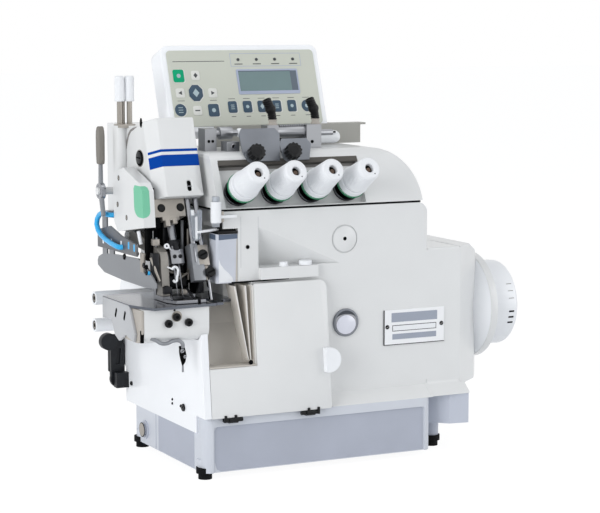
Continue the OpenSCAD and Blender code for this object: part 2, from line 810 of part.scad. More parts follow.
// Knob that screws onto a post: grooved collar, tapering barrel and blind bore
module tension_knob(x) {
    color([0.95, 0.95, 0.94]) on_panel(x, post_up) translate([0, 0, knob_foot]) difference() {
        rotate_extrude() polygon([[0, -1.5], [collar_r, -1.5], [collar_r, 0.5], [knob_r, 0.5],
            [knob_r, 6], [knob_r - 1.2, 7], [knob_r - 1, 8], [knob_r - 2.5, knob_len - 2.5],
            [knob_r - 4.5, knob_len], [4, knob_len], [4, knob_len - 5], [0, knob_len - 5]]);
        translate([0, 0, -2]) cylinder(h = knob_len - 9.6, r = post_r + run_fit);
    }
}

module tension_knob_1() {
    tension_knob(knob_x[0]);
}

module tension_knob_2() {
    tension_knob(knob_x[1]);
}

module tension_knob_3() {
    tension_knob(knob_x[2]);
}

module tension_knob_4() {
    tension_knob(knob_x[3]);
}

// ---- thread guides on the lid ----
clamp_x = [-57, -19];
clamp_post_r = 2.2;

// Places a child on the lid's crest above the tension panel
module on_crest(x) {
    translate([0, crest_y, crest_z]) rotate([90 - panel_lean, 0, 0])
        translate([x, 3, crest_r - 1]) children();
}

module guide_plates() {
    color([0.80, 0.82, 0.85]) {
        for (p = [[-65, -23, 29], [-25, 8, 18]]) on_crest(0)
            upright(1, 2.6) polygon([[p[0] + 4, -4], [p[1] - 5, -4], [p[1], p[2] - 6],
                [p[1] - 4, p[2]], [p[0] + 3, p[2]], [p[0], p[2] - 5], [p[0], 6]]);
        for (x = clamp_x) on_crest(x) {
            translate([0, 0, -3]) cylinder(h = 21, r = clamp_post_r);
            translate([0, 0, 2.5]) cylinder(h = 4, r = 5);
            translate([0, 0, 6.5]) cylinder(h = 1, r = 8);
            translate([0, 0, 8]) cylinder(h = 1, r = 8);
            translate([0, 0, 6.5]) cylinder(h = 3, r = 3.4);
        }
    }
}

// Dark knurled clamp knob
module clamp_knob(x) {
    color([0.08, 0.08, 0.09]) on_crest(x) translate([0, 0, 10.5]) difference() {
        union() {
            cylinder(h = 9, r = 7);
            for (a = [0 : 30 : 330]) rotate(a) translate([7, 0, 0])
                cylinder(h = 9, r = 1.1, $fn = 12);
        }
        translate([0, 0, -cut]) cylinder(h = 8.6, r = clamp_post_r + run_fit);
    }
}

module clamp_knob_1() {
    clamp_knob(clamp_x[0]);
}

module clamp_knob_2() {
    clamp_knob(clamp_x[1]);
}

rail_at = [-20, lid_top + 16];
elbow_x = [-20, 26];

module thread_rail() {
    color([0.82, 0.83, 0.85]) {
        rod_x(-25, 24, rail_at.x, rail_at.y, 6);
        box([14, rail_at.x - 9, lid_top], [30, rail_at.x + 9, rail_at.y + 6.5]);
        box([-27, rail_at.x - 7, lid_top], [-15, rail_at.x + 7, rail_at.y + 6.5]);
        rod_x(28, 46, rail_at.x, rail_at.y - 2, 3);
        // small clamp cylinder and its block at the left
        rod_x(-84, -50, rail_at.x, rail_at.y, 3.2);
        rod_x(-75, -62, rail_at.x, rail_at.y, 6);
        box([-92, rail_at.x - 7, lid_top], [-80, rail_at.x + 9, rail_at.y + 5]);
        box([-76, rail_at.x - 22, lid_top], [-63, rail_at.x - 8, lid_top + 9]);
    }
}

module air_elbows() {
    for (x = elbow_x) translate([x, rail_at.x, rail_at.y + 6.5]) {
        color([0.75, 0.76, 0.78]) cylinder(h = 5.5, r = 5);
        color([0.07, 0.07, 0.08]) {
            translate([0, 0, 5.5]) cylinder(h = 1.5, r = 6);
            translate([0, 0, 5.6]) rotate([0, -14, 0]) cylinder(h = 12.4, r = 5.2);
            translate([-3, 0, 17.6]) sphere(6.6);
            translate([-3, 0, 17.6]) rotate([0, -42, 0]) cylinder(h = 12, r = 5.6);
        }
    }
}

// ---- control box ----
box_at = [-104, 26, lid_top + 14.5];
film_margin = 5.5;

module panel_bracket() {
    front = box_at.y - 4;
    right = box_at.x + box_w + 2;
    top = box_at.z + 5.5;
    color([0.78, 0.77, 0.73]) {
        box([-60, front, lid_top], [100, front + 2.5, top]);
        box([right, front, top - 2], [106, front + 16, top]);
        box([-60, front, lid_top], [100, 47, lid_top + 2.5]);
        for (x = [-52, 40]) side_extrude(x, x + 14) polygon([[34, lid_top], [47, lid_top],
            [47, box_at.z - (47 - box_at.y) * tan(head_lean)],
            [34, box_at.z - (34 - box_at.y) * tan(head_lean)]]);
    }
}

module control_box() {
    color([0.96, 0.97, 0.98]) leaning(box_at) difference() {
        translate([0, box_d, 0]) rotate([90, 0, 0]) linear_extrude(box_d)
            rounded_rect(box_w, box_h, 8);
        translate([0, box_d - 3, 0]) rotate([90, 0, 0]) linear_extrude(box_d - 6)
            translate([3, 3]) rounded_rect(box_w - 6, box_h - 6, 5);
    }
}

module keypad_film() {
    color([0.80, 0.82, 0.76]) leaning(box_at) rotate([90, 0, 0])
        linear_extrude(1) translate([film_margin, film_margin])
            rounded_rect(box_w - 2 * film_margin, box_h - 2 * film_margin, 4);
}

// ---- head ----
module head_cover() {
    color([0.94, 0.95, 0.96]) leaning(head_at) difference() {
        upright(0, head_h) polygon([[0, 12], [9, 0], [head_w, 0], [head_w, head_d], [0, head_d]]);
        upright(-cut, head_h - head_wall) polygon([[head_wall, 13], [head_wall + 7.5, head_wall],
            [head_w - head_wall, head_wall], [head_w - head_wall, head_d + cut],
            [head_wall, head_d + cut]]);
        // slot for the thread at the lower right of the face
        box([31, -cut, 5], [35, head_wall + cut, 15]);
    }
}

side_x = [-166, -154.5];

module side_box() {
    color([0.97, 0.97, 0.98]) {
        side_extrude(side_x[0], side_x[1]) polygon([[23, 273], [-5, 280.5], [-44, 269],
            [-52, 262], [-56, 228.5], [11, 219], [20, 228]]);
        for (y = [2, 18]) rod_x(side_x[1] - cut, arm_left + 1, y, 262 - y / 4, 4);
    }
}

// Cheese-head screw along local Z
module screw(r, h) {
    difference() {
        cylinder(h = h, r = r);
        translate([-r - cut, -0.5, h - 1.2]) cube([2 * r + 2 * cut, 1, 2]);
    }
}

module frame_screws() {
    color([0.12, 0.12, 0.13]) {
        for (t = [[91, 57], [-12.8, 56.7], [-33, 57], [60, 150]])
            translate([end_x, t[0], t[1]]) rotate([0, -90, 0]) rotate(30) screw(3.6, 2.5);
        for (p = [[-147.8, 149.2], [-155.8, 143.5], [-136, 143.5]])
            translate([p[0], bed_front, p[1]]) rotate([90, 0, 0]) rotate(50) screw(3.6, 2);
        translate([-70, -body_front, 208]) rotate([90, 0, 0]) screw(2.5, 2);
    }
}

guide_low = -17;

module bar_guide() {
    color([0.60, 0.60, 0.60]) leaning(head_at) difference() {
        box([-3, 8, guide_low], [28.5, 30, 0]);
        translate([bar_x, bar_y, guide_low - cut])
            cylinder(h = 2 - guide_low, r = needle_bar_r + run_fit);
        for (x = [5, 24]) translate([x, 10, guide_low / 2]) rotate([90, 0, 0])
            cylinder(h = 5, r = 3);
    }
}

// Needle bar with its clamp and two needles
module needle_bar() {
    color([0.80, 0.81, 0.83]) leaning(head_at) {
        translate([bar_x, bar_y, -48]) cylinder(h = 103, r = needle_bar_r);
        difference() {
            box([bar_x - 6, bar_y - 5, -60], [bar_x + 6, bar_y + 5, -47]);
            translate([bar_x, bar_y - 4, -54]) rotate([90, 0, 0]) cylinder(h = 3, r = 2);
        }
        translate([bar_x, bar_y, -47.5]) cylinder(h = 5, r = needle_bar_r + 1.2);
        for (x = [-2.6, 2.6]) translate([bar_x + x, bar_y, 0]) {
            translate([0, 0, -74]) cylinder(h = 14.5, r = 1, $fn = 24);
            translate([0, 0, -88]) cylinder(h = 14.5, r = 0.6, $fn = 24);
            translate([0, 0, -91]) cylinder(h = 3.2, r1 = 0.1, r2 = 0.6, $fn = 24);
        }
    }
}

module upper_knife() {
    color([0.66, 0.67, 0.69]) leaning(head_at) {
        for (x = knife_rod_x) translate([x, knife_rod_y, -50]) cylinder(h = 78, r = knife_rod_r);
        box([27, 5, -65], [45, 18, -44]);
        box([27, 5, -79], [39, 15, -64]);
        box([40, 7, -79], [43, 11, -64]);
        box([41, 7, -97.5], [43, 11, -75]);
    }
    color([0.10, 0.10, 0.11]) leaning(head_at) {
        translate([38, 5.5, -55]) rotate([90, 0, 0]) screw(4.6, 3);
        translate([43.2, 10, -72]) rotate([90, 0, 0]) cylinder(h = 9, r = 4.6);
    }
}

module presser_arm() {
    color([0.58, 0.57, 0.55]) difference() {
        union() {
            side_extrude(lift_x[0], lift_x[1]) polygon([[28, 207], [28, 219], [14, 220],
                [-20, 214], [-50, 209], [-57, 205], [-60, 198], [-63, 170], [-63, sole_z],
                [-49, sole_z], [-52, 172], [-50, 196], [-44, 200], [-16, 203], [14, 206]]);
            rod_x(lift_x[0], lift_x[1], presser_at.x, presser_at.y, 7.5);
        }
        rod_x(lift_x[0] - cut, lift_x[1] + cut, presser_at.x, presser_at.y,
            presser_pin_r + run_fit);
    }
}

module presser_foot() {
    z0 = sole_z - 5;
    color([0.72, 0.73, 0.75]) difference() {
        union() {
            upright(z0, z0 + 3) polygon([[-150, -38], [-150, -70], [-145, -82], [-116, -82],
                [-115, -38]]);
            box([lift_x[0], -64, z0 + 2], [lift_x[1], -48, z0 + 5]);
            box([-150, -44, z0], [-143.5, -38, z0 + 14]);
            box([-121, -62, z0 + 2], [-118, -46, z0 + 5.5]);
        }
        box([-141, -77, z0 - cut], [-127, -52, z0 + 6]);
        box([-124, -84, z0 - cut], [-121, -60, z0 + 6]);
    }
}

// ---- threading aids beside the needle ----
tank_x = [-101.5, neck_x];
tank_y = [-74, -58];
tank_z = [175, 221];

module thread_tank() {
    color([0.85, 0.88, 0.90, 0.6]) difference() {
        upright(tank_z[0], tank_z[1]) polygon([[tank_x[0] + 2, tank_y[0]],
            [tank_x[1], tank_y[0]], [tank_x[1], tank_y[1]], [tank_x[0], tank_y[1]],
            [tank_x[0], tank_y[0] + 2]]);
        box([tank_x[0] + 1.5, tank_y[0] + 1.5, tank_z[0] + 2],
            [tank_x[1] - 1.5, tank_y[1] - 1.5, tank_z[1] + cut]);
    }
}

module tank_cap() {
    color([0.08, 0.08, 0.09]) {
        box([tank_x[0] + 6, tank_y[0] - 1, tank_z[1]], [tank_x[1], tank_y[1], tank_z[1] + 3]);
        box([-93, tank_y[0] + 3, tank_z[1] + 2], [-83, tank_y[1] - 3, arm_under]);
    }
    color([0.95, 0.95, 0.93]) {
        translate([-104.6, -80, 229]) cylinder(h = 28, r = 5);
        box([-104, -82, 236], [-84, -body_front, 240]);
    }
}

module lift_lever() {
    color([0.66, 0.67, 0.69]) {
        difference() {
            union() {
                rod_x(lever_x - 2.5, lever_x + 2.5, lever_at.x, lever_at.y, 8);
                side_extrude(lever_x - 1.5, lever_x + 1.5) polygon([[28, 256], [34, 256],
                    [33, 284], [29, 284]]);
                side_extrude(lever_x - 1.5, lever_x + 1.5) polygon([[27, 256], [35, 256],
                    [27, 232], [22, 233]]);
            }
            rod_x(lever_x - 5, lever_x + 5, lever_at.x, lever_at.y, presser_pin_r + run_fit);
        }
    }
    color([0.52, 0.50, 0.47]) side_extrude(lever_x - 3, lever_x + 3) {
        polygon([[27.2, 284], [34.8, 284], [35.8, 313], [26.2, 313]]);
        translate([31, 284]) circle(3.8);
        translate([31, 313]) circle(4.8);
    }
}

// Pressure screw with its white adjusting cap
module pressure_screw(x) {
    color([0.94, 0.94, 0.95]) translate([x, press_y, arm_top + 23]) {
        cylinder(h = 24, r = 4.7);
    }
    color([0.62, 0.60, 0.57]) translate([x, press_y, arm_top - press_deep + 0.5])
        cylinder(h = press_deep + 25, r = press_r);
}

module pressure_screw_1() {
    pressure_screw(press_x[0]);
}

module pressure_screw_2() {
    pressure_screw(press_x[1]);
}

// ---- left side fittings ----
guard_x = -160;
hose_x = -169.5;
hose_r = 2.5;

// Guard plate and comb bracket held under the side box
module finger_guard() {
    color([0.62, 0.63, 0.65]) {
        side_extrude(guard_x - 1.5, guard_x) polygon([[78, 184], [75, 188], [63, 192], [42, 194],
            [26, 195], [-29, 197], [-55, 189], [-72, 178], [-72, 174], [-44, 171.7], [11, 172],
            [60, 174], [77, 179.4]]);
        side_extrude(guard_x - 6, guard_x - 4) polygon([[65, 216], [65, 199], [-36, 199.7],
            [-36, 211], [4.6, 215.6], [32.5, 222], [49, 218.6]]);
        for (y = [-29, -15, 10, 24, 40]) rod_x(guard_x - 5, guard_x - 1, y, 201.5, 1.6);
        // brackets that carry the comb and the guard
        box([guard_x - 1.5, 34, 190], [guard_x, 46, 214]);
        box([guard_x - 5, 34, 206], [guard_x - 1, 46, 212]);
        box([guard_x - 1.5, 52, 180], [guard_x, 64, arm_under + 8]);
        box([guard_x - 1.5, 52, arm_under + 2], [arm_left + 1, 64, arm_under + 8]);
    }
}

hose_path = [[arm_left + 1, 26, 233], [hose_x + 3, 26, 233], [hose_x + 0.6, 28, 233.3],
    [hose_x, 32, 233.8], [hose_x, 42, 234], [hose_x, 50, 231.5], [hose_x, 56, 227],
    [hose_x, 58, 221.5], [hose_x, 54, 216], [hose_x, 46, 212], [hose_x, 34, 209],
    [hose_x, 18, 206.5], [hose_x, 4, 205.3], [hose_x + 0.6, -0.5, 205], [guard_x - 6, -1, 205]];
hose_sides = 10;

function unit(v) = v / norm(v);

// Points of one ring across the hose's route
function ring(i) = let (last = len(hose_path) - 1,
    t = unit(hose_path[min(i + 1, last)] - hose_path[max(i - 1, 0)]),
    u = unit(cross(t, [1, 0, 1])), w = cross(t, u))
    [for (k = [0 : hose_sides - 1]) hose_path[i]
        + hose_r * (u * cos(k * 360 / hose_sides) + w * sin(k * 360 / hose_sides))];

module cooling_hose() {
    last = len(hose_path) - 1;
    n = hose_sides;
    color([0.18, 0.62, 0.90]) polyhedron([for (i = [0 : last]) each ring(i)], concat(
        [[for (k = [0 : n - 1]) k]],
        [for (i = [0 : last - 1], k = [0 : n - 1])
            [i * n + k, (i + 1) * n + k, (i + 1) * n + (k + 1) % n, i * n + (k + 1) % n]],
        [[for (k = [n - 1 : -1 : 0]) last * n + k]]));
}

tube_spots = [[21, 155], [21, 129]];
tube_r = 6.5;

module guide_tubes() {
    color([0.95, 0.95, 0.94]) for (t = tube_spots) difference() {
        rod_x(bed_left - 8, body_left, t.x, t.y, tube_r);
        rod_x(bed_left - 9, bed_left + 8, t.x, t.y, 4.5);
    }
}

module pedal_link() {
    color([0.09, 0.09, 0.10]) {
        front_extrude(link_y[0], link_y[1]) difference() {
            union() {
                translate([link_at.x, link_at.y]) circle(9);
                polygon([[-138.5, 56], [-139, 96], [-136, 104], [-127, 104], [-124, 92],
                    [-124, 62], [-123.5, 58]]);
                translate([-142.8, 98]) circle(6);
                polygon([[-142.8, 92], [-134, 90], [-134, 104], [-142.8, 104]]);
            }
            translate([link_at.x, link_at.y]) circle(link_bolt_r + run_fit);
            translate([-133.5, 74]) rotate(-6) square([4, 16]);
        }
        rod_y(-142.8, link_y[0] - 7, link_y[0] + cut, 98, 8.5);
    }
}

// ---- gauge and plate ----
gauge_at = [32.5, 130];
gauge_r = 13.5;
plug_at = [31.5, 210.6];
plug_r = 13;
name_at = [body_right - 47.5, 104.5];

module oil_gauge() {
    color([0.80, 0.76, 0.62]) difference() {
        rod_y(gauge_at.x, -body_front - 2, body_wall - body_front, gauge_at.y, gauge_r);
        rod_y(gauge_at.x, -body_front - 3, -body_front, gauge_at.y, gauge_r - 4);
    }
}

module name_plate() {
    color([0.16, 0.17, 0.19]) box([name_at.x, -body_front - 1, name_at.y],
        [name_at.x + 67, -body_front, name_at.y + 34]);
}

base_pan();
foot_cushions();
pan_bracket();
drain_plug();
machine_frame();
arm_casting();
motor_step();
end_cover();
bed_cap();
cloth_plate();
feed_dogs();
lower_looper();
upper_looper();
upper_knife();
waste_chute();
front_cover();
cover_grip();
hinge_pins();
stitch_button();
seam_dial();
motor_housing();
motor_stator();
motor_rotor();
main_shaft();
shaft_bearings();
handwheel();
top_cover();
cover_gasket();
tension_posts();
tension_springs();
tension_knob_1();
tension_knob_2();
tension_knob_3();
tension_knob_4();
guide_plates();
clamp_knob_1();
clamp_knob_2();
thread_rail();
air_elbows();
panel_bracket();
control_box();
keypad_film();
head_cover();
side_box();
frame_screws();
bar_guide();
needle_bar();
presser_arm();
presser_foot();
thread_tank();
tank_cap();
lift_lever();
pressure_screw_1();
pressure_screw_2();
cooling_hose();
finger_guard();
guide_tubes();
pedal_link();
oil_gauge();
name_plate();
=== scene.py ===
"""Cylinder-bed overlock machine: finishes, small fittings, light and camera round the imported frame."""

from __future__ import annotations

import logging
import math
from collections.abc import Iterable, Sequence
from dataclasses import dataclass
from enum import Enum, IntEnum

import bmesh
import bpy
from mathutils import Matrix, Vector

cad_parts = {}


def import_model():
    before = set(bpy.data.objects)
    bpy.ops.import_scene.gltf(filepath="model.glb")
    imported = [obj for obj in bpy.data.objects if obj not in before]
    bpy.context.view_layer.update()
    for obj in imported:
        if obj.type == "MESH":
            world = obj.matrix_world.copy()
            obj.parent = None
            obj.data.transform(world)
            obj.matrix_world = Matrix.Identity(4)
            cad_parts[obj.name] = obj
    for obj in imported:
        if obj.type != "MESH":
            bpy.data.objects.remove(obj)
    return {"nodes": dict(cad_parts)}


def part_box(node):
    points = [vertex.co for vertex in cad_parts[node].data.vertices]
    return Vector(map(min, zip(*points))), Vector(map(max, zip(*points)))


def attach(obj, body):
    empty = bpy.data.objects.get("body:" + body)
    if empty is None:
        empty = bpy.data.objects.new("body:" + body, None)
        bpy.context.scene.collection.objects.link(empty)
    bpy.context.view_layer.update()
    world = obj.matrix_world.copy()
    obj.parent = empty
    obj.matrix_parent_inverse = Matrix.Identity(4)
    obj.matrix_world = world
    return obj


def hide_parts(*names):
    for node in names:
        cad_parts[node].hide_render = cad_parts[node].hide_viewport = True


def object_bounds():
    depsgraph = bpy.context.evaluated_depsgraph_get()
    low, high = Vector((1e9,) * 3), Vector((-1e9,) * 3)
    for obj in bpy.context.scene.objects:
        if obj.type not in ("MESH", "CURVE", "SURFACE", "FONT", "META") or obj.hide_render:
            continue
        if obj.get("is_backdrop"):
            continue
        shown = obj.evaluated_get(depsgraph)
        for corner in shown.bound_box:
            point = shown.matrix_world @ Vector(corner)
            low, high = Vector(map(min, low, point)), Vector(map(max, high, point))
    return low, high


MM = 0.001
SINK = -0.1
LEAN = math.radians(19)
PANEL_LEAN = math.radians(25)
POST_FOOT = (6, 17.3)
CREST_RADIUS = 15
CREST_FOOT = (3, 14)
CHAMFER = Matrix(((0.6, 0, -0.8, 0), (-0.8, 0, -0.6, 12), (0, 1, 0, 0), (0, 0, 0, 1)))
LEFTWARDS = Matrix(((0, 0, -1, 0), (-1, 0, 0, 0), (0, 1, 0, 0), (0, 0, 0, 1)))
BEVEL_ANGLE = 0.6
SHADE_ANGLE = math.radians(32)
DOUBLES = 1e-4
COAT_ROUGH = 0.12
BRUSH_STRETCH = (0.06, 1.0, 1.0)
MOTTLE_SCALE = 22.0
MOTTLE_STOPS = (0.35, 0.65)
GLOSS_SPREAD = (0.85, 1.15)
RELIEF_DEPTH = 0.0004
log = logging.getLogger("overlock")
Point = Sequence[float]


class Texture(Enum):
    """Kinds of fine surface relief."""

    SMOOTH = "smooth"
    PEEL = "peel"
    CAST = "cast"
    BRUSHED = "brushed"
    GRAIN = "grain"


class Solid(Enum):
    """Plain solids between two points."""

    BOX = "box"
    ROD = "rod"


BOX, ROD = Solid.BOX, Solid.ROD
Row = tuple[Solid, int, Point, Point, float]


@dataclass(frozen=True)
class Finish:
    """One surface finish, turned into a procedural material on first use."""

    name: str
    colour: str
    rough: float
    texture: Texture = Texture.SMOOTH
    metal: float = 0.0
    coat: float = 0.0
    mottle: float = 0.03
    relief: float = 0.05
    scale: float = 900.0
    clear: float = 0.0
    gloss: float = 0.5
    slot: str = ""

    def linear(self) -> tuple[float, float, float]:
        """Returns the colour as linear red, green and blue."""
        parts = [int(self.colour[i : i + 2], 16) / 255 for i in (1, 3, 5)]
        return tuple(c / 12.92 if c < 0.04045 else ((c + 0.055) / 1.055) ** 2.4 for c in parts)

    def material(self) -> bpy.types.Material:
        """Builds the material once and returns it.

        Returns:
            The Blender material of this finish.
        """
        label = f"finish_{self.name}"
        made = bpy.data.materials.get(label)
        if made:
            return made
        made = bpy.data.materials.new(label)
        made.use_nodes = True
        tree = made.node_tree
        nodes, links = tree.nodes, tree.links
        shader = nodes["Principled BSDF"]
        shader.inputs["Metallic"].default_value = self.metal
        shader.inputs["Coat Weight"].default_value = self.coat
        shader.inputs["Coat Roughness"].default_value = COAT_ROUGH
        shader.inputs["Transmission Weight"].default_value = self.clear
        shader.inputs["Specular IOR Level"].default_value = self.gloss
        place = nodes.new("ShaderNodeTexCoord")
        turn = nodes.new("ShaderNodeMapping")
        links.new(place.outputs["Object"], turn.inputs["Vector"])
        if self.texture is Texture.BRUSHED:
            turn.inputs["Scale"].default_value = BRUSH_STRETCH
        broad = nodes.new("ShaderNodeTexNoise")
        broad.inputs["Scale"].default_value = MOTTLE_SCALE
        broad.inputs["Detail"].default_value = 4.0
        links.new(place.outputs["Object"], broad.inputs["Vector"])
        tint = nodes.new("ShaderNodeValToRGB")
        red, green, blue = self.linear()
        gains = (1 - self.mottle, 1 + self.mottle)
        for stop, gain, where in zip(tint.color_ramp.elements, gains, MOTTLE_STOPS):
            stop.color = (min(red * gain, 1), min(green * gain, 1), min(blue * gain, 1), 1)
            stop.position = where
        links.new(broad.outputs["Fac"], tint.inputs["Fac"])
        links.new(tint.outputs["Color"], shader.inputs["Base Color"])
        fine = nodes.new("ShaderNodeTexNoise")
        fine.inputs["Scale"].default_value = self.scale
        fine.inputs["Detail"].default_value = 3.0
        links.new(turn.outputs["Vector"], fine.inputs["Vector"])
        gloss = nodes.new("ShaderNodeMapRange")
        gloss.inputs["To Min"].default_value = self.rough * GLOSS_SPREAD[0]
        gloss.inputs["To Max"].default_value = min(1.0, self.rough * GLOSS_SPREAD[1])
        links.new(fine.outputs["Fac"], gloss.inputs["Value"])
        links.new(gloss.outputs["Result"], shader.inputs["Roughness"])
        if self.texture is not Texture.SMOOTH:
            bump = nodes.new("ShaderNodeBump")
            bump.inputs["Strength"].default_value = self.relief
            bump.inputs["Distance"].default_value = RELIEF_DEPTH
            links.new(fine.outputs["Fac"], bump.inputs["Height"])
            links.new(bump.outputs["Normal"], shader.inputs["Normal"])
        return made


@dataclass(frozen=True)
class Finishes:
    """Every finish of the machine."""

    enamel: Finish = Finish("enamel", "#e1e2e2", 0.33, Texture.PEEL, coat=0.25, mottle=0.012, slot="enamel")
    white: Finish = Finish("enamel_white", "#f6f8fb", 0.3, Texture.PEEL,
                           coat=0.3, mottle=0.01, slot="enamel_white")
    pan: Finish = Finish("pan_grey", "#aeb3c0", 0.45, Texture.CAST, relief=0.12, slot="pan_grey")
    rubber: Finish = Finish("rubber_black", "#0f1012", 0.75, Texture.GRAIN,
                            mottle=0.1, gloss=0.15, slot="rubber_black")
    steel: Finish = Finish("steel", "#989a9f", 0.32, Texture.BRUSHED, metal=1.0, mottle=0.06, slot="steel")
    plate: Finish = Finish("bright_plate", "#666a72", 0.16, Texture.BRUSHED,
                           metal=1.0, mottle=0.08, slot="chrome")
    dark_steel: Finish = Finish("steel_dark", "#242528", 0.4, Texture.GRAIN,
                                metal=0.5, mottle=0.1, gloss=0.25, slot="steel_dark")
    grey_steel: Finish = Finish("steel_grey", "#a5a099", 0.42, Texture.CAST,
                                metal=0.7, mottle=0.09, slot="steel")
    sheet: Finish = Finish("steel_sheet", "#8b8e93", 0.38, Texture.BRUSHED, metal=0.6, slot="steel")
    chrome: Finish = Finish("chrome", "#9b9da2", 0.1, Texture.BRUSHED, metal=1.0, relief=0.02, slot="chrome")
    aluminium: Finish = Finish("aluminium", "#9d9fa3", 0.33, Texture.BRUSHED, metal=0.9, slot="aluminium")
    beige: Finish = Finish("beige_plastic", "#b5afa7", 0.45, Texture.CAST, slot="beige_plastic")
    plastic: Finish = Finish("white_plastic", "#f2f4f7", 0.3, Texture.GRAIN,
                             mottle=0.015, coat=0.1, slot="white_plastic")
    black: Finish = Finish("black_plastic", "#101113", 0.38, Texture.GRAIN,
                           mottle=0.12, gloss=0.22, slot="black_plastic")
    link: Finish = Finish("black_link", "#1b1d21", 0.45, Texture.CAST,
                          mottle=0.1, gloss=0.3, slot="black_plastic")
    film: Finish = Finish("film", "#c9ccc1", 0.42, Texture.GRAIN, mottle=0.012, gloss=0.3, slot="film")
    frosted: Finish = Finish("clear_plastic", "#dfe5ee", 0.35, Texture.GRAIN,
                             mottle=0.02, clear=0.75, slot="clear_plastic")
    green: Finish = Finish("spring_green", "#0d7d52", 0.3, Texture.GRAIN,
                           mottle=0.1, coat=0.1, gloss=0.3, slot="spring_green")
    hose: Finish = Finish("hose_blue", "#38b4f0", 0.28, Texture.GRAIN,
                          mottle=0.08, coat=0.15, gloss=0.3, slot="hose_blue")
    copper: Finish = Finish("copper", "#5d4636", 0.35, Texture.BRUSHED, metal=1.0, mottle=0.1, slot="copper")
    glass: Finish = Finish("gauge_glass", "#eef1f2", 0.06, Texture.SMOOTH,
                           clear=0.9, mottle=0.01, slot="gauge_glass")
    bracket: Finish = Finish("sheet_beige", "#a3a29c", 0.42, Texture.PEEL, mottle=0.02, slot="sheet_beige")
    blue: Finish = Finish("print_blue", "#03419c", 0.5, Texture.GRAIN, gloss=0.08, slot="enamel_white")
    mint: Finish = Finish("mint_patch", "#7fcaa8", 0.5, Texture.GRAIN,
                          relief=0.1, gloss=0.15, slot="enamel_white")
    key_green: Finish = Finish("key_green", "#0ca173", 0.45, Texture.GRAIN,
                               mottle=0.02, gloss=0.15, slot="film")
    slate: Finish = Finish("key_slate", "#435667", 0.45, Texture.GRAIN, gloss=0.2, slot="film")
    key_pale: Finish = Finish("key_pale", "#dcddd8", 0.38, Texture.GRAIN, mottle=0.01, slot="film")
    ink: Finish = Finish("ink", "#4b4e50", 0.5, Texture.GRAIN, mottle=0.05, gloss=0.2, slot="film")
    glyph: Finish = Finish("glyph", "#a9bcc2", 0.4, Texture.GRAIN, slot="film")
    screen: Finish = Finish("screen", "#698284", 0.12, Texture.SMOOTH,
                            mottle=0.05, coat=0.5, slot="gauge_glass")
    screen_rim: Finish = Finish("screen_rim", "#a9b2c8", 0.3, Texture.GRAIN,
                                mottle=0.02, gloss=0.3, slot="film")
    screen_dark: Finish = Finish("screen_dark", "#54616e", 0.15, Texture.SMOOTH, coat=0.5, slot="gauge_glass")
    # Near black, partly painted shade and partly real black: it paints the shade in holes, slots, bores, gaps
    # and the room behind the needles, and a shadow under the rail, and it colours dark marks such as the
    # broad wheel ticks.
    void: Finish = Finish("hollow_shade_black", "#08090a", 0.8, Texture.GRAIN,
                          mottle=0.1, gloss=0.05, slot="black_plastic")
    grip: Finish = Finish("lever_grip", "#827e78", 0.6, Texture.GRAIN,
                          mottle=0.06, relief=0.2, gloss=0.2, slot="black_plastic")
    seam: Finish = Finish("seam_shadow", "#8a8785", 0.6, Texture.GRAIN, gloss=0.2, slot="enamel")
    knob: Finish = Finish("knob_white", "#eceef1", 0.35, Texture.GRAIN,
                          mottle=0.01, coat=0.1, slot="white_plastic")
    tank_mist: Finish = Finish("tank_mist", "#ccd0da", 0.55, Texture.GRAIN, mottle=0.05, slot="clear_plastic")
    tank_band: Finish = Finish("tank_band", "#5a687d", 0.5, Texture.GRAIN, mottle=0.08, slot="clear_plastic")
    rib: Finish = Finish("chute_rib", "#dcdad6", 0.45, Texture.CAST, mottle=0.02, slot="beige_plastic")
    chute: Finish = Finish("chute_beige", "#ded9d1", 0.5, Texture.CAST, gloss=0.3, slot="beige_plastic")
    chute_shade: Finish = Finish("chute_shade", "#c4bfb7", 0.6, Texture.CAST, gloss=0.2, slot="beige_plastic")
    plate_face: Finish = Finish("plate_face", "#f2f3f5", 0.35, Texture.BRUSHED, mottle=0.02, slot="aluminium")
    plate_band: Finish = Finish("plate_band", "#9ba2b0", 0.4, Texture.BRUSHED, slot="aluminium")
    # Painted light: a lightened copy of the pan grey for the bracket and drain plug, lifting them out of the
    # shade they sit in.
    pan_wing_lightened: Finish = Finish("pan_wing_lightened", "#c3c8d4", 0.45, Texture.CAST, slot="pan_grey")
    guide: Finish = Finish("guide_steel", "#7d8188", 0.3, Texture.BRUSHED,
                           metal=0.5, mottle=0.12, slot="chrome")
    arm_steel: Finish = Finish("arm_steel", "#908d88", 0.4, Texture.CAST, metal=0.5, mottle=0.1, slot="steel")
    comb: Finish = Finish("comb_steel", "#66686c", 0.4, Texture.BRUSHED, metal=0.4, mottle=0.06, slot="steel")
    seam_light: Finish = Finish("seam_light", "#cdcfd0", 0.6, Texture.GRAIN,
                                mottle=0.02, gloss=0.2, slot="enamel")
    knob_shade: Finish = Finish("knob_shade", "#b9bcc2", 0.4, Texture.GRAIN,
                                mottle=0.02, slot="white_plastic")
    pin: Finish = Finish("bore_pin", "#6b5a4e", 0.5, Texture.GRAIN, mottle=0.1, gloss=0.2, slot="copper")
    # Painted shade for the band along the top of the tension panel's recess.
    panel_painted_shade: Finish = Finish("panel_painted_shade", "#5d5a56", 0.6, Texture.GRAIN,
                                mottle=0.1, gloss=0.15, slot="enamel")
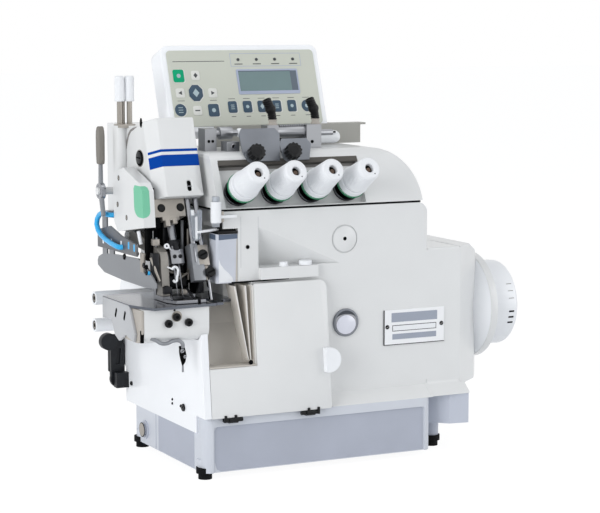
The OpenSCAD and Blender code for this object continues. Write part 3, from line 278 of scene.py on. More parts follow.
    # Painted dark reflection on the gauge glass, a crescent along its top.
    glass_dark_reflection: Finish = Finish("glass_dark_reflection", "#3a3f46", 0.2, Texture.SMOOTH,
                                mottle=0.08, gloss=0.4, slot="gauge_glass")
    fold: Finish = Finish("fold_sheet", "#b8babd", 0.35, Texture.BRUSHED,
                          metal=0.1, mottle=0.02, slot="steel")
    pan_light: Finish = Finish("pan_light", "#d0d4dc", 0.45, Texture.CAST, mottle=0.02, slot="pan_grey")
    # Painted highlight on the gauge glass, a pale oval under the dark crescent.
    dome_highlight: Finish = Finish("gauge_dome_highlight", "#dddfea", 0.15, Texture.SMOOTH,
                          mottle=0.02, coat=1.0, slot="gauge_glass")


FIN = Finishes()


@dataclass(frozen=True)
class Leaning:
    """A local frame in millimetres that leans back with the head."""

    node: str

    def matrix(self) -> Matrix:
        """Works out where the leaning frame starts, from the box of its node.

        Returns:
            The frame's matrix in metres, for sizes in millimetres.
        """
        low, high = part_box(self.node)
        c, s = math.cos(LEAN), math.sin(LEAN)
        dy, dz = high.y - low.y, high.z - low.z
        height = (dz * c - dy * s) / (c * c - s * s)
        origin = Vector((low.x, low.y, high.z - height * c))
        return Matrix.Translation(origin) @ Matrix.Rotation(-LEAN, 4, "X") @ Matrix.Scale(MM, 4)


def upright() -> Matrix:
    """Returns the plain frame of the machine, in millimetres."""
    return Matrix.Scale(MM, 4)


def moved(place: Matrix, x: float, y: float, z: float) -> Matrix:
    """Returns a frame shifted along its own axes, in millimetres."""
    return place @ Matrix.Translation((x, y, z))


def tilted(place: Matrix, degrees: float, axis: str) -> Matrix:
    """Returns a frame turned about one of its own axes."""
    return place @ Matrix.Rotation(math.radians(degrees), 4, axis)


def facing_front(x: float, y: float, z: float) -> Matrix:
    """Places local Z towards the operator.

    Args:
        x: Place along the shaft in millimetres.
        y: Place of the surface in millimetres.
        z: Height in millimetres.

    Returns:
        A frame in millimetres with local X to the right and local Y up.
    """
    return tilted(moved(upright(), x, y, z), 90, "X")


def facing_left(x: float, y: float, z: float) -> Matrix:
    """Places local Z to the left, local X towards the operator and local Y up.

    Args:
        x: Place of the surface in millimetres.
        y: Place from front to back in millimetres.
        z: Height in millimetres.

    Returns:
        A frame in millimetres.
    """
    return moved(upright(), x, y, z) @ LEFTWARDS


def panel_place(x: float) -> Matrix:
    """Returns the frame of the leaning tension panel.

    Args:
        x: Place along the shaft in millimetres.

    Returns:
        A frame in millimetres at the panel's lower front edge.
    """
    low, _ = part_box("top_cover")
    foot = Matrix.Translation((x * MM, low.y, low.z))
    return foot @ Matrix.Rotation(-PANEL_LEAN, 4, "X") @ Matrix.Scale(MM, 4)


def tension_place(x: float) -> Matrix:
    """Returns the frame of a tension post.

    Args:
        x: Place along the shaft in millimetres.

    Returns:
        A frame in millimetres with local Z along the post.
    """
    return tilted(moved(panel_place(x), 0, *POST_FOOT), 90, "X")


def crest_place(x: float) -> Matrix:
    """Returns the frame on the lid's crest.

    Args:
        x: Place along the shaft in millimetres.

    Returns:
        A frame in millimetres with local Z out of the lid.
    """
    low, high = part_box("top_cover")
    radius = CREST_RADIUS * MM
    centre_z = high.z - radius
    rise = centre_z - low.z
    centre_y = low.y + (radius + rise * math.sin(PANEL_LEAN)) / math.cos(PANEL_LEAN)
    return (
        Matrix.Translation((0, centre_y, centre_z))
        @ Matrix.Rotation(math.pi / 2 - PANEL_LEAN, 4, "X")
        @ Matrix.Scale(MM, 4)
        @ Matrix.Translation((x, *CREST_FOOT))
    )


class Piece:
    """A mesh under construction, in a local frame in millimetres."""

    def __init__(self, name: str, body: str, *finishes: Finish) -> None:
        """Starts an empty mesh.

        Args:
            name: Piece name.
            body: CAD body that it rides on.
            *finishes: Finishes by material index.
        """
        self.name, self.body, self.finishes = name, body, finishes
        self.mesh = bmesh.new()
        self.tone = 0
        self.place = upright()

    def at(self, place: Matrix, tone: int = 0) -> Piece:
        """Sets the frame and the finish of what is added next, and returns the piece."""
        self.place, self.tone = place, tone
        return self

    def _keep(self, part: bmesh.types.BMesh, bevel: float, segments: int) -> None:
        """Bevels a part, moves it into place and joins it to the piece.

        Args:
            part: Mesh in the local frame, freed here.
            bevel: Width of the softened edges.
            segments: Steps in each softened edge.
        """
        if bevel:
            sharp = [e for e in part.edges if e.is_manifold and e.calc_face_angle(0) > BEVEL_ANGLE]
            bmesh.ops.bevel(
                part, geom=sharp, offset=bevel, offset_type="OFFSET", segments=segments,
                profile=0.5, affect="EDGES", material=-1, clamp_overlap=True,
            )
        bmesh.ops.recalc_face_normals(part, faces=part.faces)
        bmesh.ops.transform(part, matrix=self.place, verts=part.verts)
        for face in part.faces:
            face.material_index = self.tone
            face.smooth = True
        scratch = bpy.data.meshes.new("scratch")
        part.to_mesh(scratch)
        part.free()
        self.mesh.from_mesh(scratch)
        bpy.data.meshes.remove(scratch)

    def box(self, low: Point, high: Point, bevel: float = 0.3, segments: int = 2) -> Piece:
        """Adds a box between two corners.

        Args:
            low: Lower corner.
            high: Upper corner.
            bevel: Width of the softened edges.
            segments: Steps in each softened edge.

        Returns:
            The piece.
        """
        part = bmesh.new()
        size = [b - a for a, b in zip(low, high)]
        middle = [(a + b) / 2 for a, b in zip(low, high)]
        bmesh.ops.create_cube(part, size=1.0)
        bmesh.ops.scale(part, vec=size, verts=part.verts)
        bmesh.ops.translate(part, vec=middle, verts=part.verts)
        self._keep(part, bevel, segments)
        return self

    def rod(self, start: Point, end: Point, radius: float, tip: float | None = None,
            sides: int = 32, bevel: float = 0.2) -> Piece:
        """Adds a round rod or cone between two points.

        Args:
            start: Middle of the first end.
            end: Middle of the other end.
            radius: Radius at the first end.
            tip: Radius at the other end, the same if left out.
            sides: Flats round the rod.
            bevel: Width of the softened edges.

        Returns:
            The piece.
        """
        part = bmesh.new()
        run = Vector(end) - Vector(start)
        turn = run.to_track_quat("Z", "Y").to_matrix().to_4x4()
        middle = Matrix.Translation((Vector(start) + Vector(end)) / 2)
        bmesh.ops.create_cone(
            part, cap_ends=True, segments=sides, radius1=radius,
            radius2=radius if tip is None else tip, depth=run.length, matrix=middle @ turn,
        )
        self._keep(part, bevel, 2)
        return self

    def rows(self, place: Matrix, rows: Iterable[Row]) -> Piece:
        """Adds boxes and rods.

        Args:
            place: Frame that they lie in.
            rows: Kind, finish, two points, then a box's edge width or a rod's radius.

        Returns:
            The piece.
        """
        for solid, tone, start, end, size in rows:
            self.at(place, tone)
            if solid is BOX:
                self.box(start, end, size)
            else:
                self.rod(start, end, size)
        return self

    def lathe(self, profile: Sequence[Point], sides: int, closed: bool = False) -> Piece:
        """Adds a solid of revolution round local Z.

        Args:
            profile: Radius and height of each corner.
            sides: Steps round the axis.
            closed: Whether the last corner joins the first.

        Returns:
            The piece.
        """
        part = bmesh.new()
        line = [part.verts.new((r, 0, z)) for r, z in profile]
        ring = line + line[:1] if closed else line
        edges = [part.edges.new(pair) for pair in zip(ring, ring[1:])]
        bmesh.ops.spin(
            part, geom=line + edges, cent=(0, 0, 0), axis=(0, 0, 1), angle=math.tau,
            steps=sides, use_merge=True, use_duplicate=False,
        )
        bmesh.ops.remove_doubles(part, verts=part.verts, dist=DOUBLES)
        self._keep(part, 0.0, 0)
        return self

    def prism(self, outline: Sequence[Point], low: float, high: float, bevel: float) -> Piece:
        """Adds an outline raised along local Z.

        Args:
            outline: Corners in local X and Y.
            low: Height of the lower face.
            high: Height of the upper face.
            bevel: Width of the softened edges.

        Returns:
            The piece.
        """
        part = bmesh.new()
        face = part.faces.new([part.verts.new((x, y, low)) for x, y in outline])
        raised = bmesh.ops.extrude_face_region(part, geom=[face])
        tops = [v for v in raised["geom"] if isinstance(v, bmesh.types.BMVert)]
        bmesh.ops.translate(part, vec=(0, 0, high - low), verts=tops)
        self._keep(part, bevel, 2)
        return self

    def hull(self, corners: Sequence[Point], bevel: float) -> Piece:
        """Adds the convex solid round some corners.

        Args:
            corners: Points that it encloses.
            bevel: Width of the softened edges.

        Returns:
            The piece.
        """
        part = bmesh.new()
        for corner in corners:
            part.verts.new(corner)
        bmesh.ops.convex_hull(part, input=part.verts)
        loose = [v for v in part.verts if not v.link_faces]
        bmesh.ops.delete(part, geom=loose, context="VERTS")
        bmesh.ops.dissolve_limit(part, angle_limit=0.01, verts=part.verts, edges=part.edges)
        self._keep(part, bevel, 2)
        return self

    def ball(self, centre: Point, radius: float) -> Piece:
        """Adds a ball.

        Args:
            centre: Middle of the ball.
            radius: Radius of the ball.

        Returns:
            The piece.
        """
        part = bmesh.new()
        bmesh.ops.create_uvsphere(part, u_segments=32, v_segments=16, radius=radius)
        bmesh.ops.translate(part, vec=centre, verts=part.verts)
        self._keep(part, 0.0, 0)
        return self

    def wire(self, route: Sequence[Point], radius: float) -> Piece:
        """Adds a round wire along a smooth route.

        Args:
            route: Points that it passes.
            radius: The wire's radius.

        Returns:
            The piece.
        """
        curve = bpy.data.curves.new("wire", "CURVE")
        curve.dimensions = "3D"
        curve.bevel_depth = radius
        curve.bevel_resolution = 3
        curve.use_fill_caps = True
        curve.resolution_u = 6
        line = curve.splines.new("BEZIER")
        line.bezier_points.add(len(route) - 1)
        for knot, spot in zip(line.bezier_points, route):
            knot.co = spot
            knot.handle_left_type = knot.handle_right_type = "AUTO"
        holder = bpy.data.objects.new("wire", curve)
        bpy.context.scene.collection.objects.link(holder)
        bpy.context.view_layer.update()
        swept = bpy.data.meshes.new_from_object(
            holder.evaluated_get(bpy.context.evaluated_depsgraph_get())
        )
        part = bmesh.new()
        part.from_mesh(swept)
        bmesh.ops.remove_doubles(part, verts=part.verts, dist=DOUBLES)
        bpy.data.objects.remove(holder)
        bpy.data.curves.remove(curve)
        bpy.data.meshes.remove(swept)
        self._keep(part, 0.0, 0)
        return self

    def screw(self, centre: Point, radius: float, height: float, turn: float,
              slot_tone: int | None = None) -> Piece:
        """Adds a screw head along local Z, with a slot if it has a finish.

        Args:
            centre: Middle of the head's foot.
            radius: The head's radius.
            height: The head's height.
            turn: Angle of the slot in radians.
            slot_tone: Finish index of the slot, or none.

        Returns:
            The piece.
        """
        kept, tone = self.place, self.tone
        foot = moved(kept, *centre)
        rim = min(0.5, height / 2)
        self.at(foot, tone)
        self.lathe([(0, 0), (radius, 0), (radius, height - rim), (radius - rim, height), (0, height)], 32)
        if slot_tone is not None:
            wide, thick = radius * 0.8, radius * 0.14
            self.at(foot @ Matrix.Rotation(turn, 4, "Z"), slot_tone)
            self.box((-wide, -thick, height - 0.1), (wide, thick, height + 0.06), 0.02, 1)
        return self.at(kept, tone)

    def done(self, *replaced: str) -> bpy.types.Object:
        """Finishes the piece.

        Args:
            *replaced: CAD nodes that it stands for.

        Returns:
            The finished object, riding on its body.
        """
        data = bpy.data.meshes.new(self.name)
        self.mesh.to_mesh(data)
        self.mesh.free()
        for finish in self.finishes:
            data.materials.append(finish.material())
        data.set_sharp_from_angle(angle=SHADE_ANGLE)
        made = bpy.data.objects.new(self.name, data)
        bpy.context.scene.collection.objects.link(made)
        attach(made, self.body)
        if replaced:
            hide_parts(*replaced)
        log.info("%s: %d faces on %s", self.name, len(data.polygons), self.body)
        return made


def square(x0: float, y0: float, x1: float, y1: float) -> list[Point]:
    """Returns the corners of a rectangle, also as the section of a drum or a collar."""
    return [(x0, y0), (x1, y0), (x1, y1), (x0, y1)]


def arc(x: float, y: float, wide: float, tall: float, degrees: Iterable[float]) -> list[Point]:
    """Returns points of an ellipse.

    Args:
        x: Middle along local X.
        y: Middle along local Y.
        wide: Half width.
        tall: Half height.
        degrees: Angles of the points.

    Returns:
        One point for each angle.
    """
    turns = [math.radians(a) for a in degrees]
    return [(x + wide * math.cos(a), y + tall * math.sin(a)) for a in turns]


def oval(wide: float, tall: float, steps: int, y: float = 0.0) -> list[Point]:
    """Returns a closed ellipse whose middle is on local Y.

    Args:
        wide: Half width.
        tall: Half height.
        steps: Number of corners.
        y: Height of its middle.

    Returns:
        Its corners, against the clock.
    """
    turns = [math.tau * i / steps for i in range(steps)]
    return [(wide * math.cos(a), y + tall * math.sin(a)) for a in turns]


def rounded(x0: float, y0: float, x1: float, y1: float, radius: float, steps: int) -> list[Point]:
    """Outlines a rectangle with round corners.

    Args:
        x0: Left side.
        y0: Lower side.
        x1: Right side.
        y1: Upper side.
        radius: Radius of the corners.
        steps: Pieces in each corner.

    Returns:
        The outline, against the clock from the upper right corner.
    """
    corners = ((x1 - radius, y1 - radius, 0), (x0 + radius, y1 - radius, 90),
               (x0 + radius, y0 + radius, 180), (x1 - radius, y0 + radius, 270))
    line = []
    for x, y, first in corners:
        line += arc(x, y, radius, radius, [first + 90 * i / steps for i in range(steps + 1)])
    return line


@dataclass
class Castings:
    """The CAD nodes that stay: their finishes and softened edges."""

    nodes: dict[str, bpy.types.Object]
    weld: float = 1e-6
    flat: float = 0.5
    corner: float = 28.0
    segments: int = 3
    edges: tuple[tuple[str, float], ...] = (
        ("machine_frame", 1.6), ("arm_casting", 1.8), ("motor_step", 2.0), ("top_cover", 1.0),
        ("motor_housing", 2.2), ("end_cover", 1.6), ("head_cover", 1.6), ("side_box", 1.6),
        ("control_box", 1.2), ("base_pan", 1.2), ("pan_bracket", 2.5), ("panel_bracket", 0.5),
        ("bed_cap", 0.8), ("cover_grip", 0.9), ("handwheel", 0.8), ("pedal_link", 0.7),
        ("finger_guard", 0.25), ("presser_arm", 0.8), ("bar_guide", 0.6), ("thread_rail", 0.5),
        ("thread_tank", 0.4), ("name_plate", 0.2), ("waste_chute", 0.5), ("presser_foot", 0.3),
        ("guide_plates", 0.25), ("keypad_film", 0.2),
    )

    def dress(self) -> None:
        """Gives each carried-over node its finish and softens the edges of the larger ones."""
        plan = {
            FIN.enamel: "machine_frame arm_casting motor_step front_cover top_cover head_cover side_box "
                        "motor_housing",
            FIN.chute: "waste_chute",
            FIN.white: "end_cover control_box",
            FIN.pan_light: "base_pan",
            FIN.rubber: "foot_cushions cover_gasket",
            FIN.steel: "feed_dogs lower_looper upper_looper needle_bar presser_foot shaft_bearings "
                       "upper_knife motor_rotor",
            FIN.grey_steel: "bar_guide",
            FIN.sheet: "finger_guard",
            FIN.plate: "cloth_plate",
            FIN.chrome: "tension_posts main_shaft",
            FIN.guide: "guide_plates",
            FIN.arm_steel: "presser_arm",
            FIN.plate_face: "name_plate",
            FIN.aluminium: "thread_rail lift_lever",
            FIN.beige: "bed_cap",
            FIN.plastic: "cover_grip handwheel stitch_button seam_dial guide_tubes pressure_screw_1 "
                         "pressure_screw_2 tension_knob_1 tension_knob_2 tension_knob_3 tension_knob_4",
            FIN.black: "hinge_pins clamp_knob_1 clamp_knob_2 air_elbows tank_cap",
            FIN.pan_wing_lightened: "pan_bracket drain_plug",
            FIN.link: "pedal_link",
            FIN.film: "keypad_film",
            FIN.tank_mist: "thread_tank",
            FIN.green: "tension_springs",
            FIN.hose: "cooling_hose",
            FIN.copper: "motor_stator",
            FIN.bracket: "panel_bracket",
            FIN.dark_steel: "frame_screws",
            FIN.glass: "oil_gauge",
        }
        for finish, names in plan.items():
            for name in names.split():
                node = self.nodes[name]
                for slot in node.material_slots:
                    slot.material = finish.material()
        for name, width in self.edges:
            self._soften(self.nodes[name], width * MM)

    def _soften(self, node: bpy.types.Object, width: float) -> None:
        """Rounds a node's sharp edges by modifiers, leaving its mesh as it is.

        Args:
            node: CAD node.
            width: Width of the rounding in metres.
        """
        weld = node.modifiers.new("weld", "WELD")
        weld.merge_threshold = self.weld
        flat = node.modifiers.new("flat", "DECIMATE")
        flat.decimate_type = "DISSOLVE"
        flat.angle_limit = math.radians(self.flat)
        edge = node.modifiers.new("edge", "BEVEL")
        edge.width = width
        edge.segments = self.segments
        edge.limit_method = "ANGLE"
        edge.angle_limit = math.radians(self.corner)
        edge.harden_normals = True
        edge.miter_outer = "MITER_ARC"


@dataclass
class HeadTrim:
    """Stripes, recesses and seams on the needle-side covers."""

    skin: float = 0.12
    slot_x: tuple[float, float] = (31.0, 35.0)
    slot_z: tuple[float, float] = (5.0, 15.0)
    side_x: float = -166.0
    side_screws: tuple[Point, ...] = ((7.4, 269.8), (-12.2, 234.0), (10.5, 244.6))
    patch_foot: tuple[float, float] = (-52.0, 262.0)
    patch_tilt: float = 6.8
    stripes: tuple[Point, ...] = ((29.0, 40.0), (43.0, 45.5))
    face_x: tuple[float, float] = (8.9, 45.6)
    chamfer_x: tuple[float, float] = (0.6, 15.1)
    release: Point = (-151, -9.5, 289)
    oval_slot: Point = (-151, -13.4, 322.4)
    arm_x: float = -150.0
    seam_line: tuple[Point, ...] = (
        (-1.0, 318), (9, 316.8), (17, 314.2), (22.5, 310), (26, 304), (29.5, 296.5), (33.2, 288),
        (36.4, 278), (37.6, 268),
    )

    def build(self) -> None:
        """Makes the trim of the face, the chamfer, the side box and the arm."""
        head = Leaning("head_cover").matrix()
        self._face(tilted(head, 90, "X"))
        wrap = Piece("head_stripes_wrap", "frame", FIN.blue).at(head @ CHAMFER)
        for low, high in self.stripes:
            wrap.prism(square(self.chamfer_x[0], low, self.chamfer_x[1], high), SINK, self.skin, 0)
        wrap.done()
        self._release()
        self._side_box()
        self._arm_seam()

    def _face(self, face: Matrix) -> None:
        """Lays a wide and a thin straight stripe and the black backing of the thread slot, painted shade in
        the slot.

        Args:
            face: Frame of the head cover's front.
        """
        lines = Piece("head_stripes", "frame", FIN.blue).at(face)
        for low, high in self.stripes:
            lines.prism(square(self.face_x[0], low, self.face_x[1], high), SINK, self.skin, 0)
        lines.done()
        slot = Piece("head_slot", "frame", FIN.void, FIN.chrome).at(face)
        slot.box((self.slot_x[0], self.slot_z[0], -2.8), (self.slot_x[1], self.slot_z[1], -1.6), 0.1)
        slot.at(face, 1).rod((self.slot_x[0] - 0.6, 9.5, -0.9), (self.slot_x[1] + 0.6, 9.5, -0.9), 0.45)
        slot.done()

    def _release(self) -> None:
        """Sets the release knob in its recess and the oval slot above it on the left side; the recess is
        painted as shade, a shadow-grey ring round a black floor, and the slot as a black oval.
        """
        place = facing_left(*self.release)
        piece = Piece("head_release", "frame", FIN.void, FIN.dark_steel, FIN.seam)
        piece.at(place, 2).prism(oval(10.0, 8.2, 40), SINK, 0.1, 0)
        piece.at(place, 0).prism(oval(8.8, 7.3, 40), 0, 0.25, 0)
        knob = moved(place, -0.8, 0.4, 0)
        piece.at(knob, 1).prism(oval(6.6, 5.6, 40), 0.1, 1.2, 0.4)
        piece.at(knob, 0).box((-5.2, -0.6, 1.1), (5.2, 0.6, 1.35), 0.05)
        piece.at(facing_left(*self.oval_slot), 0).prism(oval(3.0, 4.6, 32), SINK, 0.15, 0)
        piece.done()

    def _side_box(self) -> None:
        """Puts three sunk screws in the side box and the mint patch on its front."""
        screws = Piece("side_box_screws", "frame", FIN.void, FIN.grey_steel)
        for y, z in self.side_screws:
            hole = facing_left(self.side_x, y, z)
            # Painted shade: a black disc round each sunk screw stands for the shade in its hole.
            screws.at(hole).lathe(square(0, -0.2, 2.5, 0.08), 32)
            screws.at(hole, 1).screw((0, 0, 0), 1.7, 0.5, 0.8, slot_tone=0)
        screws.done()
        front = tilted(moved(upright(), self.side_x, *self.patch_foot), 90 - self.patch_tilt, "X")
        patch = Piece("side_patch", "frame", FIN.mint).at(front)
        curve = (0, 22, 45, 68, 90)
        ends = [(0, -24.6), (0, 0.2), (6.8, 0.2)] + arc(1.0, -18.6, 6.0, -6.0, curve)
        patch.prism(ends, -0.2, self.skin, 0)
        patch.at(tilted(front, self.patch_tilt - 48.8, "X")).prism(
            [(0, 0), (6.8, 0), (6.4, 4.4), (4.6, 6.2), (0, 6.2)], -0.2, self.skin, 0)
        side = facing_left(self.side_x, 0, 0)
        tail = [(47.2, 266.2), (52.1, 262.0), (55.0, 237.2)]
        tail += arc(45.0, 246.4, -13.0, -9.4, [90 - a for a in curve])
        tail += [(30.8, 263.0), (33.4, 266.2)]
        patch.at(side).prism(tail, -0.2, self.skin, 0)
        patch.done()
        # Painted shade: a black box fills the gap beside the side box, where shade falls.
        dark = Piece("side_gap_shade", "frame", FIN.void).at(upright())
        dark.box((-154.4, -46, 234), (-151.4, -30, 264), 0.4)
        dark.done()

    def _arm_seam(self) -> None:
        """Draws the curved joint of the head's cover on the arm's left side."""
        outer = [(-y, z) for y, z in self.seam_line]
        inner = [(-(y - 2.6), z - 1.6) for y, z in reversed(self.seam_line)]
        seam = Piece("arm_seam", "frame", FIN.seam)
        seam.at(facing_left(self.arm_x, 0, 0)).prism(outer + inner, -0.3, self.skin, 0)
        seam.done()


class KeyShape(Enum):
    """Outlines of a key on the control panel."""

    SQUARE = "square"
    ROUND = "round"
    OCTAGON = "octagon"


class Glyph(Enum):
    """Plain marks on a key."""

    DIAMOND = "diamond"
    LEFT = "left"
    RIGHT = "right"
    MINUS = "minus"
    DOT = "dot"
    BARS = "bars"


class Tone(IntEnum):
    """Finishes of the key pad, in the order of its slots."""

    GREEN = 0
    SLATE = 1
    PALE = 2
    INK = 3
    LIGHT = 4


MARK_LINES = {
    Glyph.DIAMOND: ((1.2, 0), (0, 1.5), (-1.2, 0), (0, -1.5)),
    Glyph.LEFT: ((-1, 0), (0.9, -1.1), (0.9, 1.1)),
    Glyph.RIGHT: ((1, 0), (-0.9, 1.1), (-0.9, -1.1)),
}


@dataclass(frozen=True)
class Key:
    """One key: its middle, width and height on the panel, its tone and its mark."""

    x: float
    z: float
    wide: float
    tall: float
    tone: Tone
    glyph: Glyph
    shape: KeyShape = KeyShape.SQUARE


@dataclass
class ControlPanel:
    """Keys, screen and lamps on the control box's film."""

    key_rise: float = 0.55
    mark_share: float = 0.2
    mark_high: float = 0.12
    sink: float = -0.05
    rule_high: float = 0.06
    screen_box: tuple[float, float, float, float] = (77.0, 36.8, 144.0, 62.6)
    lamp_box: tuple[float, float, float, float] = (72.5, 65.6, 149.5, 79.0)
    lamps: tuple[float, ...] = (81.0, 101.0, 121.0, 141.0)
    functions: tuple[float, ...] = (68.0, 84.0, 100.0, 116.0, 132.5)
    round_key: float = 149.0
    side_keys: tuple[float, float] = (14.4, 48.6)
    top_rule: tuple[float, float, float, float] = (11.0, 70.9, 66.0, 71.5)

    def keys(self) -> list[Key]:
        """Lists the panel's keys.

        Returns:
            Every key, row by row.
        """
        listed = [
            Key(15.2, 56.7, 11.5, 13.0, Tone.GREEN, Glyph.DOT),
            Key(33.0, 57.0, 9.0, 9.6, Tone.PALE, Glyph.DIAMOND),
            Key(14.4, 39.4, 9.4, 9.6, Tone.PALE, Glyph.LEFT),
            Key(31.0, 39.2, 14.4, 16.4, Tone.SLATE, Glyph.DIAMOND, KeyShape.OCTAGON),
            Key(48.8, 38.9, 9.4, 9.6, Tone.PALE, Glyph.RIGHT),
            Key(12.6, 22.2, 12.0, 12.6, Tone.SLATE, Glyph.BARS, KeyShape.ROUND),
            Key(30.2, 21.4, 9.2, 9.6, Tone.PALE, Glyph.MINUS),
            Key(47.4, 21.4, 11.4, 12.8, Tone.SLATE, Glyph.DOT),
            Key(self.round_key, 24.0, 11.4, 12.2, Tone.SLATE, Glyph.DOT, KeyShape.ROUND),
        ]
        marks = (Glyph.BARS, Glyph.DOT, Glyph.DIAMOND, Glyph.BARS, Glyph.DOT)
        listed += [Key(x, 24.2, 9.6, 12.0, Tone.SLATE, mark) for x, mark in zip(self.functions, marks)]
        return listed

    def build(self) -> None:
        """Makes the panel's fittings on the leaning film."""
        film = moved(tilted(Leaning("control_box").matrix(), 90, "X"), 0, 0, 1.0)
        pad = Piece("key_pad", "frame", FIN.key_green, FIN.slate, FIN.key_pale, FIN.ink, FIN.glyph)
        for key in self.keys():
            self._key(pad, film, key)
        self._labels(pad, film)
        pad.done()
        self._screen(film)

    @staticmethod
    def _outline(key: Key, grow: float) -> list[Point]:
        """Draws a key's outline.

        Args:
            key: The key.
            grow: Margin round it.

        Returns:
            Corners round its middle.
        """
        half_w, half_h = key.wide / 2 + grow, key.tall / 2 + grow
        if key.shape is KeyShape.SQUARE:
            return rounded(-half_w, -half_h, half_w, half_h, 2.0 + grow, 4)
        steps, start = (8, math.pi / 8) if key.shape is KeyShape.OCTAGON else (32, 0.0)
        stretch = 1 / math.cos(start)
        return [(half_w * stretch * math.cos(start + math.tau * i / steps),
                 half_h * stretch * math.sin(start + math.tau * i / steps)) for i in range(steps)]

    def _key(self, pad: Piece, film: Matrix, key: Key) -> None:
        """Adds one key with its pale surround and its mark.

        Args:
            pad: Piece that holds the keys.
            film: Frame of the panel's film.
            key: The key.
        """
        spot = moved(film, key.x, key.z, 0)
        if key.tone != Tone.PALE:
            pad.at(moved(spot, 0.7, -0.2, 0), Tone.PALE).prism(self._outline(key, 0.5), self.sink, 0.15, 0)
        pad.at(spot, key.tone).prism(self._outline(key, 0), self.sink, self.key_rise, 0.3)
        tone = Tone.INK if key.tone == Tone.PALE else Tone.LIGHT
        pad.at(moved(spot, 0, 0, self.key_rise + self.sink), tone)
        small, high = min(key.wide, key.tall) * self.mark_share, self.mark_high
        if key.glyph in MARK_LINES:
            pad.prism([(small * x, small * y) for x, y in MARK_LINES[key.glyph]], 0, high, 0)
        elif key.glyph is Glyph.MINUS:
            pad.box((-small * 1.4, -0.6, 0), (small * 1.4, 0.6, high), 0.02, 1)
        elif key.glyph is Glyph.DOT:
            pad.lathe(square(0, 0, small * 0.9, high), 32)
        elif key.glyph is Glyph.BARS:
            for shift in (-1, 0, 1):
                pad.box((-small, shift * small - 0.35, 0), (small, shift * small + 0.35, high), 0.02, 1)

    def _labels(self, pad: Piece, film: Matrix) -> None:
        """Adds one even rule above and below the keys, under the lamps and along the top.

        Args:
            pad: Piece that holds the keys.
            film: Frame of the panel's film.
        """
        rules = [self.top_rule]
        for x in self.functions + (self.round_key,):
            rules += [(x - 3.6, 32.4, x + 3.6, 32.9), (x - 2.4, 14.2, x + 2.4, 14.8)]
        rules += [(x - 3.6, 31.3, x + 3.6, 31.8) for x in self.side_keys]
        rules += [(x - 4.4, 67.6, x + 4.4, 68.5) for x in self.lamps]
        pad.at(film, Tone.INK)
        for x0, z0, x1, z1 in rules:
            pad.box((x0, z0, self.sink), (x1, z1, self.rule_high), 0, 1)
        for x in self.lamps:
            pad.at(moved(film, x, 72.6, 0), Tone.INK).lathe(
                [(0, 0), (1.5, 0), (1.5, 0.5), (1.0, 0.9), (0, 1.0)], 24)

    def _screen(self, film: Matrix) -> None:
        """Sets the screen in its rim and outlines the row of lamps.

        Args:
            film: Frame of the panel's film.
        """
        x0, z0, x1, z1 = self.screen_box
        piece = Piece("panel_screen", "frame", FIN.screen_rim, FIN.screen, FIN.screen_dark)
        piece.at(film).prism(rounded(x0, z0, x1, z1, 1.2, 3), self.sink, 0.5, 0.15)
        piece.at(film, 1).box((x0 + 2.0, z0 + 3.4, 0.4), (x1 - 8.5, z1 - 1.9, 0.62), 0.04, 1)
        piece.at(film, 2).box((x1 - 8.6, z0 + 3.4, 0.4), (x1 - 1.6, z1 - 1.9, 0.62), 0.04, 1)
        piece.at(film, 2).box((x0 + 2.0, z1 - 2.6, 0.4), (x1 - 8.5, z1 - 1.7, 0.66), 0.02, 1)
        u0, w0, u1, w1 = self.lamp_box
        piece.at(film, 0)
        for low, high in (((u0, w0), (u1, w0 + 0.4)), ((u0, w1 - 0.4), (u1, w1)),
                          ((u0, w0), (u0 + 0.4, w1)), ((u1 - 0.4, w0), (u1, w1))):
            piece.box((*low, self.sink), (*high, self.mark_high), 0, 1)
        piece.done()


